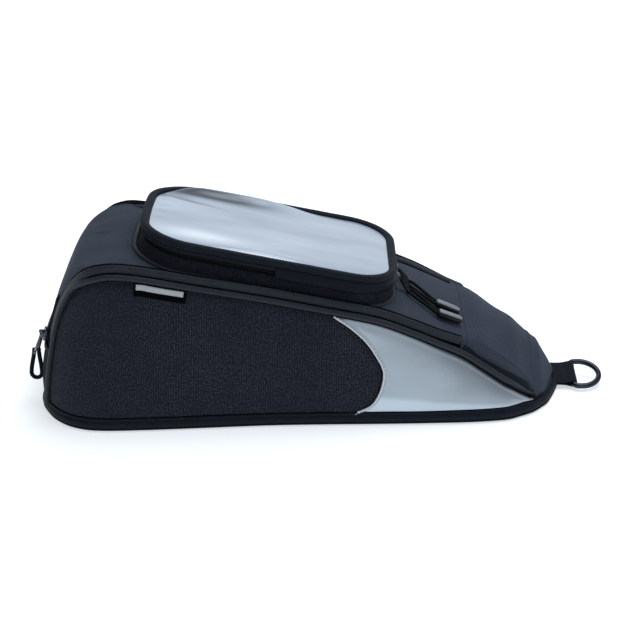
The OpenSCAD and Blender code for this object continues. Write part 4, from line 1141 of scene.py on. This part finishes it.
# binding: a folded tape round a soft core, tighter at its inner edge
rim_prof = []
for ang in np.linspace(0, 2 * PI, 22, endpoint=False):
    c, s_ = math.cos(ang), math.sin(ang)
    dd = 4.1 - 4.1 * math.copysign(abs(c) ** 0.75, c)
    hh = 20.4 + (3.3 if s_ > 0 else 3.1) * math.copysign(abs(s_) ** 0.85, s_) * (1 - 0.25 * max(0, -c))
    rim_prof.append((dd + wv * 0.4, hh + wv))
rim = pocket_ring(rim_prof)
make("pocket_rim_binding", rim[0], rim[1], "pocket_lid", "binding_tape", M_BIND, rim[2], ["pocket_rim"])
for dd, zz, nm in ((6.7, 22.6, "inner"), (0.15, 18.6, "outer")):
    O = O0 - n0 * dd
    Qr_ = pk(O[:, 0], O[:, 1], zz)
    nn = pk(O[:, 0], O[:, 1], zz + 1) - Qr_ if nm == "inner" else np.stack([n0[:, 0] * ca, n0[:, 1], -n0[:, 0] * sa], -1)
    st = stitches(Qr_, nn, 3.2, 2.2, 0.5, 0.1, closed=True)
    make(f"pocket_rim_stitch_{nm}", st[0], st[1], "pocket_lid", "binding_tape", M_THREAD)

# window: film bowed up between the bindings, highest near the far side at the rear
nr = 26
Rw = []
Oi, ni = rr(0)
edge_in = Oi - ni * 7.0
cx = np.array([0.0, 0.0])
for k, f in enumerate(np.concatenate([np.linspace(1, 0.72, 22, endpoint=False), np.linspace(0.72, 0.03, 26)])):
    XY = edge_in * f
    ee = 1 - f
    dome = 1 - np.exp(-ee * 9)
    X, Y = XY[:, 0], XY[:, 1]
    roll = 1 - np.exp(-ee * 42)
    hgt = 20.5 + dome * (1.3 + 1.6 * np.exp(-((X + 45) / 62) ** 2 - ((Y - 34) / 30) ** 2) + 0.9 * np.exp(-((X - 60) / 50) ** 2 - ((Y + 10) / 40) ** 2))
    hgt = hgt + roll * (7.4 * np.exp(-((X + 40) / 66) ** 4 - ((Y - 66) / 14) ** 2) + 2.6 * np.exp(-((X + 12) / 42) ** 2 - ((Y + 61) / 5.5) ** 2))
    hgt = hgt + roll * 0.7 * np.sin(Y / 2.6) * np.exp(-((X + 104) / 8) ** 2 - ((Y - 8) / 26) ** 2)
    hgt = hgt - roll * 1.6 * np.exp(-((Y + 0.32 * X - 12) / 4.0) ** 2 - ((X + 86) / 22) ** 2)
    pts = pk(X, Y, hgt)
    hgt = hgt + dome * (0.5 * noise3(pts * [1, 2.2, 1], 70, 21) + 0.22 * noise3(pts * [0.6, 2.5, 1], 24, 22))
    Rw.append(np.stack([X, Y, hgt], -1))
Rw = np.array(Rw)
topw = Rw
botw = Rw[::-1] - [0, 0, 0.8]
allw = np.concatenate([botw, topw])
Rp = pk(allw[..., 0], allw[..., 1], allw[..., 2])
win = loft(Rp)
win_ob = make("window_film", win[0], win[1], "pocket_lid", "clear_vinyl", M_CLEAR, np.stack([allw[..., 0], allw[..., 1]], -1), ["clear_window"])

def lean(O):
    """1 along the sides and the rear of the pocket, 0 across its front."""
    return 1 - smooth01((O[:, 0] - 62) / 34)


# wall under the rim, leaning in towards the zip
ln = lean(O0)
wl = pocket_ring([(1.2 + wv, 17.8), (0.9 + 0.1 * ln + wv, 15.8), (1.2 + 0.7 * ln + wv * 2, 13.4 + 0.6 * ln), (2.3 + 1.6 * ln + wv, 10.3 + 1.9 * ln), (3.2 + 3.0 * ln, 10.0 + 1.6 * ln), (4.0 + 3.0 * ln, 10.6 + 1.4 * ln), (3.6 + 2.0 * ln, 13.5 + 0.8 * ln), (3.2 + ln, 17.6)])
make("pocket_wall_cloth", wl[0], wl[1], "pocket_lid", "black_polyester", M_BODY, wl[2], ["pocket_wall"])
# coated flap over the front part of the pocket zip
Of, nf = rr(0, 26, 80, 40)
keep = Of[:, 0] > 6
order = np.argsort(-((Of[:, 1] < 0).astype(int)) * 0)
seq = [i for i in range(len(Of)) if keep[i]]
br = [k for k in range(1, len(seq)) if seq[k] != seq[k - 1] + 1]
if br: seq = seq[br[0]:] + seq[:br[0]]
Of, nf = Of[seq], nf[seq]
near_slide = smooth01((Of[:, 0] - 100) / 14) * smooth01((44 - Of[:, 1]) / 8) * smooth01((Of[:, 1] + 42) / 8)
zb = 7.6 + 7.2 * near_slide
endf = smooth01(np.minimum(np.arange(len(Of)), np.arange(len(Of))[::-1]) / 6)
Rf = []
for dd, ff in ((0.9, 1.0), (0.0, 0.97), (-0.35, 0.8), (-0.6, 0.5), (-0.7, 0.2), (-0.55, 0.03), (-0.1, 0.0), (0.25, 0.04), (0.3, 0.5), (0.5, 1.0)):
    zz = zb + (18.0 - zb) * ff
    O = Of - nf * (dd + 0.9 * (1 - endf) * (1 - ff))[:, None] if hasattr(dd, "shape") else Of - nf * (dd + 0.5 * (1 - endf))[:, None]
    Rf.append(pk(O[:, 0], O[:, 1], zz))
Rf = np.array(Rf).transpose(1, 0, 2)
Rf = Rf + 0.25 * noise3(Rf, 20, 23)[..., None] * np.stack([nf[:, 0] * ca, nf[:, 1], -nf[:, 0] * sa], -1)[:, None]
fl = loft(Rf)
make("pocket_front_flap", fl[0], fl[1], "pocket_lid", "black_polyester", M_FLAPGLOSS, fl[2])

# pocket zip halves
dn = (30, 110, 44)
zl = pocket_ring([(3.9 + 3.6 * ln, 2.4), (3.9 + 3.6 * ln, 9.0), (4.8 + 3.6 * ln, 9.0), (4.8 + 3.6 * ln, 2.4)])
zu = pocket_ring([(3.9 + 3.6 * ln, 9.9), (3.9 + 3.6 * ln, 15.6), (4.8 + 3.6 * ln, 15.6), (4.8 + 3.6 * ln, 9.9)])
make("pocket_tape_low", zl[0], zl[1], "lid", "zip_tape", M_TAPE, zl[2], ["pocket_zip_lower"])
make("pocket_tape_up", zu[0], zu[1], "pocket_lid", "zip_tape", M_TAPE, zu[2], ["pocket_zip_upper"])
Oz, nz = rr(0, 26, 80, 30)
Oz = Oz - nz * (3.4 + 3.6 * lean(Oz))[:, None]
Qz = pk(Oz[:, 0], Oz[:, 1], 9.4)
Nz = np.stack([nz[:, 0] * ca, nz[:, 1], -nz[:, 0] * sa], -1)
Qz, Nz = resample(Qz, 1.6, Nz, True)
Tz = unit(np.roll(Qz, -1, axis=0) - np.roll(Qz, 1, axis=0)); Cz = unit(np.cross(Nz, Tz)); Nz = np.cross(Tz, Cz)
us = 1.0 if Cz[3][2] > 0 else -1.0
a1, a2 = coil(Qz, Tz, Cz, Nz, -us, 0.0), coil(Qz, Tz, Cz, Nz, us, 0.5)
make("pocket_coil_low", a1[0], a1[1], "lid", "zip_tape", M_TEETH)
make("pocket_coil_up", a2[0], a2[1], "pocket_lid", "zip_tape", M_TEETH)

# ribbed gusset that follows the lid, with a bead along its foot
dense = (54, 170, 60)
Og, ng = rr(0, *dense)


def foot(O, lift):
    z_ = np.zeros(len(O))
    for _ in range(4):
        X = -49 + O[:, 0] * ca + z_ * sa
        z_ = (lid_z(X, O[:, 1]) + lift - 133.6 + O[:, 0] * sa) / ca
    return z_


per = np.concatenate([[0], np.cumsum(np.linalg.norm(np.diff(Og, axis=0), axis=-1))])
ribs = 0.16 * np.sin(per / 2.2 * 2 * PI)
zf = foot(Og - ng * 0.8, -0.6)
lg = lean(Og)
gz = 8.6 - 1.5 * lg
prof = []
for f, dd, rb, le in ((0.0, -0.6, 0.3, 0), (0.12, 0.2, 0.9, 0.3), (0.3, 0.6, 1, 0.9), (0.5, 0.9, 1, 1.7), (0.7, 1.3, 1, 2.6), (0.88, 1.8, 0.9, 3.3), (1.0, 2.6, 0.2, 3.6)):
    prof.append((dd + le * lg - ribs * rb, zf + (gz - zf) * f))
prof += [(3.4 + 3.6 * lg, gz + 0 * zf), (3.2 + 2.4 * lg, zf + (gz - zf) * 0.5), (3.0 + 0.6 * lg, zf)]
gs = pocket_ring(prof, dense)
make("pocket_gusset_ribbed", gs[0], gs[1], "lid", "black_polyester", M_GUSSET, gs[2], ["pocket_gusset"])
Ob, nb = rr(0, 26, 80, 30)
Obp = Ob + nb * 1.4
zbb = foot(Obp, 1.0)
Qb_ = pk(Obp[:, 0], Obp[:, 1], zbb)
Nb_ = np.tile([sa, 0, ca], (len(Qb_), 1))
bead = sweep(Qb_, Nb_, ellipse(1.9, 1.5, 10), True)
make("pocket_foot_bead", bead[0], bead[1], "lid", "binding_tape", M_PIPE, bead[2])
Obs = Ob + nb * 4.2
Qs_ = pk(Obs[:, 0], Obs[:, 1], foot(Obs, 0.35))
st = stitches(Qs_, Nb_, 3.3, 2.2, 0.5, 0.15, closed=True)
make("pocket_foot_stitch", st[0], st[1], "lid", "binding_tape", M_THREAD)

# ---------------------------------------------------------------- sliders, pulls and tips
def box_part(x0, x1, y0, y1, z0, z1, b=0.35, taper=0.0):
    """Box with rounded edges, as a loft of eight-sided rings; taper narrows its top."""
    R = []
    for z_, k in ((z0, b), (z0 + b, 0.0), (z1 - b, taper), (z1, taper + b)):
        a = [x0 + k, x1 - k, y0 + k, y1 - k]
        c = min(0.9, (x1 - x0) * 0.18)
        R.append([[a[0] + c, a[2], z_], [a[1] - c, a[2], z_], [a[1], a[2] + c, z_], [a[1], a[3] - c, z_],
                  [a[1] - c, a[3], z_], [a[0] + c, a[3], z_], [a[0], a[3] - c, z_], [a[0], a[2] + c, z_]])
    return loft(np.array(R, float))


def cyl(p0, p1, r, m=20, b=0.25):
    p0, p1 = np.array(p0, float), np.array(p1, float)
    T = unit(p1 - p0); A = unit(np.cross(T, [0.3, 0.9, 0.2])); B = np.cross(T, A)
    L = np.linalg.norm(p1 - p0)
    R = []
    for l, rr_ in ((0, r - b), (b, r), (L - b, r), (L, r - b)):
        R.append([p0 + T * l + A * rr_ * math.cos(2 * PI * k / m) + B * rr_ * math.sin(2 * PI * k / m) for k in range(m)])
    return loft(np.array(R))


def outline_part(pts, z0, z1, b=0.3):
    """Flat plate from an outline, with rounded rims."""
    P2 = np.array(pts, float)
    c = P2.mean(axis=0)
    nrm = unit(P2 - c)
    R = []
    for z_, k in ((z0, b), (z0 + b, 0.0), (z1 - b, 0.0), (z1, b)):
        Q2 = P2 - nrm * k
        R.append(np.concatenate([Q2, np.full((len(Q2), 1), z_)], 1))
    return loft(np.array(R))


def turned(part, deg, lift=0.0, tilt=0.0):
    V, F, B = part
    V = np.asarray(V, float).reshape(-1, 3)
    a = math.radians(tilt)
    V = np.stack([V[:, 0], V[:, 1] * math.cos(a) - V[:, 2] * math.sin(a), V[:, 1] * math.sin(a) + V[:, 2] * math.cos(a)], -1)
    V = V + [0, 0, lift]
    a = math.radians(deg)
    V = np.stack([V[:, 0] * math.cos(a) - V[:, 1] * math.sin(a), V[:, 0] * math.sin(a) + V[:, 1] * math.cos(a), V[:, 2]], -1)
    return V, F, B


def slider(name, M, turn, body, node, mat):
    wing = [(-2.4, -6.5), (2.4, -6.5), (3.6, -5.2), (4.4, -1.5), (4.4, 2.8), (3.9, 5.0), (2.2, 6.5), (0.9, 5.2), (-0.9, 5.2), (-2.2, 6.5), (-3.9, 5.0), (-4.4, 2.8), (-4.4, -1.5), (-3.6, -5.2)]
    parts = [outline_part(wing, 0.5, 1.8, 0.35),
             outline_part([(x * 0.94, y * 0.96) for x, y in wing], -0.9, 0.2, 0.25),
             box_part(-4.3, -3.4, -4.5, 3.6, -0.6, 1.4, 0.2), box_part(3.4, 4.3, -4.5, 3.6, -0.6, 1.4, 0.2),
             box_part(-0.8, 0.8, 2.2, 6.0, -0.4, 1.6, 0.2),
             box_part(-1.7, 1.7, -5.4, 4.2, 1.6, 2.25, 0.25, 0.3)]
    ears = []
    for x0, x1 in ((-3.7, -2.3), (2.3, 3.7)):
        ears.append(box_part(x0, x1, -2.0, 2.0, 1.0, 4.6, 0.3))
        ears.append(cyl((x0, 0, PIN_Z), (x1, 0, PIN_Z), 2.0, 20, 0.3))
    ears.append(cyl((-4.0, 0, PIN_Z), (4.0, 0, PIN_Z), 0.88, 16, 0.15))
    ears += [cyl((-4.15, 0, PIN_Z), (-3.6, 0, PIN_Z), 1.25, 16, 0.2), cyl((3.6, 0, PIN_Z), (4.15, 0, PIN_Z), 1.25, 16, 0.2)]
    V, F, B = join(parts + [turned(e, turn) for e in ears])
    return make(name, put(M, V), F, body, "slider_metal", mat, None, [node], sharp=32)


def pull(name, M, turn, tilt, l, body, node, mat, th=0.6, ww=1.0, roll=0.0):
    eye = []
    re_ = 1.95 + 0.9 * (ww - 1)
    for k in range(24):
        a = 2 * PI * k / 24
        ring = []
        for j in range(10):
            b = 2 * PI * j / 10
            r_ = re_ + 0.52 * math.cos(b)
            ring.append([r_ * math.cos(a), -l + 0.2 + r_ * math.sin(a), max(0.62, th) * math.sin(b)])
        eye.append(ring)
    line = [(-1.7, -1.2), (-1.95, -3), (-1.6, -5), (-1.6 * ww, -l * 0.55), (-1.95 * ww, -l + 3.4), (-1.95 * ww, -l + 2.2), (-1.2, -l + 1.6)]
    parts = [cyl((-2.0, 0, 0), (2.0, 0, 0), 1.7, 24, 0.35),
             outline_part(line + [(-x, y) for x, y in line[::-1]], -th, th, 0.28),
             box_part(-0.75, 0.75, -l + 4.2, -3.2, th - 0.2, th + 0.3, 0.15), box_part(-0.75, 0.75, -l + 4.2, -3.2, -th - 0.3, -th + 0.2, 0.15),
             loft(np.array(eye), closed=True)]
    if roll:
        out = [parts[0]]
        for V, F, B in parts[1:]:
            V = np.asarray(V, float).reshape(-1, 3)
            f = math.radians(roll) * smooth01((-V[:, 1] - 1.8) / 4.5)
            out.append((np.stack([V[:, 0] * np.cos(f) + V[:, 2] * np.sin(f), V[:, 1], -V[:, 0] * np.sin(f) + V[:, 2] * np.cos(f)], -1), F, B))
        parts = out
    V, F, B = join([turned(p, turn, PIN_Z, tilt) for p in parts])
    return make(name, put(M, V), F, body, "pull_metal", mat, None, [node], sharp=35)


slider("slider_side", side_M, 0, "side_slider", "main_slider_side", M_METAL)
pull("pull_side", side_M, 0, -4, PLATE_L + 3, "side_pull", "main_pull_side", M_METAL)
slider("slider_rear", rear_M, -90, "rear_slider", "main_slider_rear", M_METAL)
pull("pull_rear", rear_M, -90, REAR_A, PLATE_L, "rear_pull", "main_pull_rear", M_METAL, 1.0, 1.25, 48)
slider("slider_pocket_far", far_M, PULL_TURN, "pocket_far_slider", "pocket_slider_far", M_METAL)
slider("slider_pocket_near", near_M, PULL_TURN, "pocket_near_slider", "pocket_slider_near", M_METAL)
pull("pull_pocket_far", far_M, PULL_TURN, PULL_A, PLATE_L, "pocket_far_pull", "pocket_pull_far", M_PULL, 0.8, 1.5, -52)
pull("pull_pocket_near", near_M, PULL_TURN, PULL_A, PLATE_L, "pocket_near_pull", "pocket_pull_near", M_PULL, 0.8, 1.5, -52)


def tip(name, M, body, node):
    ys = [-0.2, 0.3, 1.6, 4, 9, 15, 20, 22.4, 23.5, 23.95]
    ws = [3.4, 4.2, 4.6, 4.75, 4.6, 4.75, 4.3, 3.3, 2.1, 0.8]
    hs = [2.1, 2.6, 2.9, 2.95, 2.9, 2.9, 2.7, 2.3, 1.7, 0.9]
    R = []
    for y, w_, h in zip(ys, ws, hs):
        pr = pill(2 * w_, 2 * h, 0, 0, 3.0, 28)
        R.append([[a, y, 2.9 + b] for a, b in pr])
    body_part = loft(np.array(R))
    groove = []
    for y in (3.2, 5.2, 7.2):
        groove.append(loft(np.array([[[a, y + dy, 2.9 + b] for a, b in pill(2 * (w2), 2 * h2, 0, 0, 3.0, 28)] for dy, w2, h2 in ((-0.5, 4.5, 2.7), (-0.25, 4.95, 3.1), (0.25, 4.95, 3.1), (0.5, 4.5, 2.7))])))
    V, F, B = join([body_part] + groove)
    make(name + "_body", put(M, V), F, body, "grey_rubber", M_TIPBLACK, None, [node])
    inlay = []
    for y, w_, h in ((0.6, 2.4, 0.2), (1.0, 3.3, 0.75), (2.0, 3.8, 1.0), (8.0, 3.7, 1.0), (16, 3.8, 1.0), (20.0, 3.4, 0.9), (22.0, 2.5, 0.6), (22.8, 1.5, 0.2)):
        inlay.append([[a, y, 5.35 + b] for a, b in pill(2 * w_, 2 * h, 0, 0, 3.6, 24)])
    V, F, B = loft(np.array(inlay))
    make(name + "_inlay", put(M, V), F, body, "grey_rubber", M_TIPGREY)


tip("tip_far", far_tip, "pocket_far_pull", "pocket_tip_far")
tip("tip_near", near_tip, "pocket_near_pull", "pocket_tip_near")
for cname, tipname, pullname in (("pocket_cord_far", "tip_far", "far"), ("pocket_cord_near", "tip_near", "near")):
    ob, P, L = cord_obj[cname]
ob, P, L = cord_obj["main_cord_rear"]

# ---------------------------------------------------------------- nose webbing and ring
c14, s14 = math.cos(math.radians(14)), math.sin(math.radians(14))


def nose(P):
    P = np.asarray(P, float)
    return np.stack([241 + P[..., 0], P[..., 1] * c14 - P[..., 2] * s14, 8.6 + P[..., 1] * s14 + P[..., 2] * c14], -1)


rc = 3.35
line = [(-19, 0.9), (-14, 1.0), (-9, 1.15), (-5.5, 1.9)]
arc = [(rc * math.cos(a), rc * math.sin(a)) for a in np.linspace(math.radians(118), math.radians(-118), 22)]
line = line + arc + [(-5.5, -1.9), (-9, -1.15), (-14, -1.0), (-19, -0.9)]
L2 = np.array(line)
Lp = np.stack([L2[:, 0], np.zeros(len(L2)), L2[:, 1]], -1)
Lp = resample(Lp, 0.9)
T = unit(np.gradient(Lp, axis=0)); Nn = np.cross(T, [0, 1, 0])
prof = pill(30, 1.35, 0, 0, 7, 44)
R = Lp[:, None] + np.array([[0, a, 0] for a, b in prof])[None] + np.array([b for a, b in prof])[None, :, None] * Nn[:, None]
wv_ = 0.25 * noise3(R, 6, 30)
R = R + wv_[..., None] * Nn[:, None]
wb_ = loft(R)
make("nose_strap", nose(wb_[0]), wb_[1], "bag", "webbing", M_WEB, wb_[2], ["nose_webbing"])
sts = []
for x in (-7.6, -9.4):
    yy = np.linspace(-13, 13, 30)
    sts.append(stitches(np.stack([np.full(30, x), yy, np.full(30, 1.9)], -1), np.tile([0, 0, 1.0], (30, 1)), 2.6, 1.9, 0.55, 0.1))
    sts.append(stitches(np.stack([np.full(30, x), yy, np.full(30, -1.9)], -1), np.tile([0, 0, -1.0], (30, 1)), 2.6, 1.9, 0.55, 0.1))
V, F, B = join(sts)
make("nose_strap_stitch", nose(V), F, "bag", "webbing", M_THREAD)

ring = [[0, y, 0] for y in np.linspace(-12.5, 12.5, 14)]
ring += [[5.5 - 5.5 * math.cos(a), 12.5 + 5.5 * math.sin(a), 0] for a in np.linspace(0.15, PI / 2, 8)]
ring += [[8 + 18 * math.sin(a), 18 * math.cos(a), 0] for a in np.linspace(0, PI, 60)]
ring += [[5.5 - 5.5 * math.cos(a), -12.5 - 5.5 * math.sin(a), 0] for a in np.linspace(PI / 2, 0.15, 8)]
ring = resample(np.array(ring, float), 1.4, closed=True)
T = unit(np.roll(ring, -1, axis=0) - np.roll(ring, 1, axis=0))
C = np.cross(T, [0, 0, 1.0])
weld = np.exp(-(np.linalg.norm(ring - [0, -2, 0], axis=1) / 2.0) ** 2) * 0.25
rad_ = 2.72 - 0.08 * np.exp(-((ring[:, 0] - 26) / 6) ** 2)
R = ring[:, None] + np.array([[math.cos(a), math.sin(a)] for a in np.linspace(0, 2 * PI, 18, endpoint=False)])[None, :, :1] * (rad_)[:, None, None] * C[:, None] + \
    np.array([[math.cos(a), math.sin(a)] for a in np.linspace(0, 2 * PI, 18, endpoint=False)])[None, :, 1:] * (rad_)[:, None, None] * np.array([0, 0, 1.0])
rg = loft(R, closed=True)
make("nose_ring_wire", nose(rg[0]), rg[1], "nose_ring", "ring_metal", M_RING, rg[2], ["d_ring"])

# ---------------------------------------------------------------- carried-over pieces inside
for n, m in (("base_stiffener", M_BOARD), ("rear_stiffener", M_BOARD), ("base_magnets", M_MAGNET), ("side_foam_right", M_FOAM), ("side_foam_left", M_FOAM), ("top_foam", M_FOAM)):
    o = NODE[n]
    o.data.materials.clear()
    o.data.materials.append(m)

# ---------------------------------------------------------------- stage
def plane(name, size, z, mat):
    me = bpy.data.meshes.new(name)
    h = size / 2
    me.from_pydata([(-h, -h, z), (h, -h, z), (h, h, z), (-h, h, z)], [], [(0, 1, 2, 3)])
    o = bpy.data.objects.new(name, me)
    scene.collection.objects.link(o)
    me.materials.append(mat)
    return o


MF = Nodes("floor_white")
MF.set(Roughness=0.6, Specular_IOR_Level=0.2)
MF.b.inputs["Base Color"].default_value = (0.86, 0.87, 0.885, 1)
MF.b.inputs["Emission Color"].default_value = (0.94, 0.975, 1.0, 1)
MF.b.inputs["Emission Strength"].default_value = 0.54
plane("floor", 90, -0.0006, MF.m)

world = bpy.data.worlds.new("studio")
scene.world = world
world.use_nodes = True
bg = world.node_tree.nodes["Background"]
bg.inputs["Color"].default_value = (0.93, 0.96, 1.0, 1)
bg.inputs["Strength"].default_value = 0.36
seen = world.node_tree.nodes.new("ShaderNodeBackground")      # what the camera sees beyond the floor
seen.inputs["Color"].default_value = (0.97, 0.985, 1.0, 1)
seen.inputs["Strength"].default_value = 1.0
which = world.node_tree.nodes.new("ShaderNodeMixShader")
path_ = world.node_tree.nodes.new("ShaderNodeLightPath")
world.node_tree.links.new(path_.outputs["Is Camera Ray"], which.inputs[0])
world.node_tree.links.new(bg.outputs[0], which.inputs[1])
world.node_tree.links.new(seen.outputs[0], which.inputs[2])
world.node_tree.links.new(which.outputs[0], world.node_tree.nodes["World Output"].inputs[0])


def area(name, loc, target, size, power, colour=(0.86, 0.93, 1.0), sy=None):
    l = bpy.data.lights.new(name, "AREA")
    l.energy, l.color = power, colour
    l.shape = "RECTANGLE"
    l.size, l.size_y = size, sy or size
    o = bpy.data.objects.new(name, l)
    scene.collection.objects.link(o)
    o.location = loc
    o.rotation_euler = (Vector(target) - Vector(loc)).to_track_quat("-Z", "Y").to_euler()
    return o


area("key_top", (0.35, 0.3, 1.7), (0, 0, 0), 1.4, 17.5, sy=1.0)
area("front_soft", (0.4, -1.9, 1.1), (0, 0, 0.08), 1.6, 4.5)
area("back_rim", (0.1, 1.6, 0.9), (0, 0, 0.1), 1.6, 5)
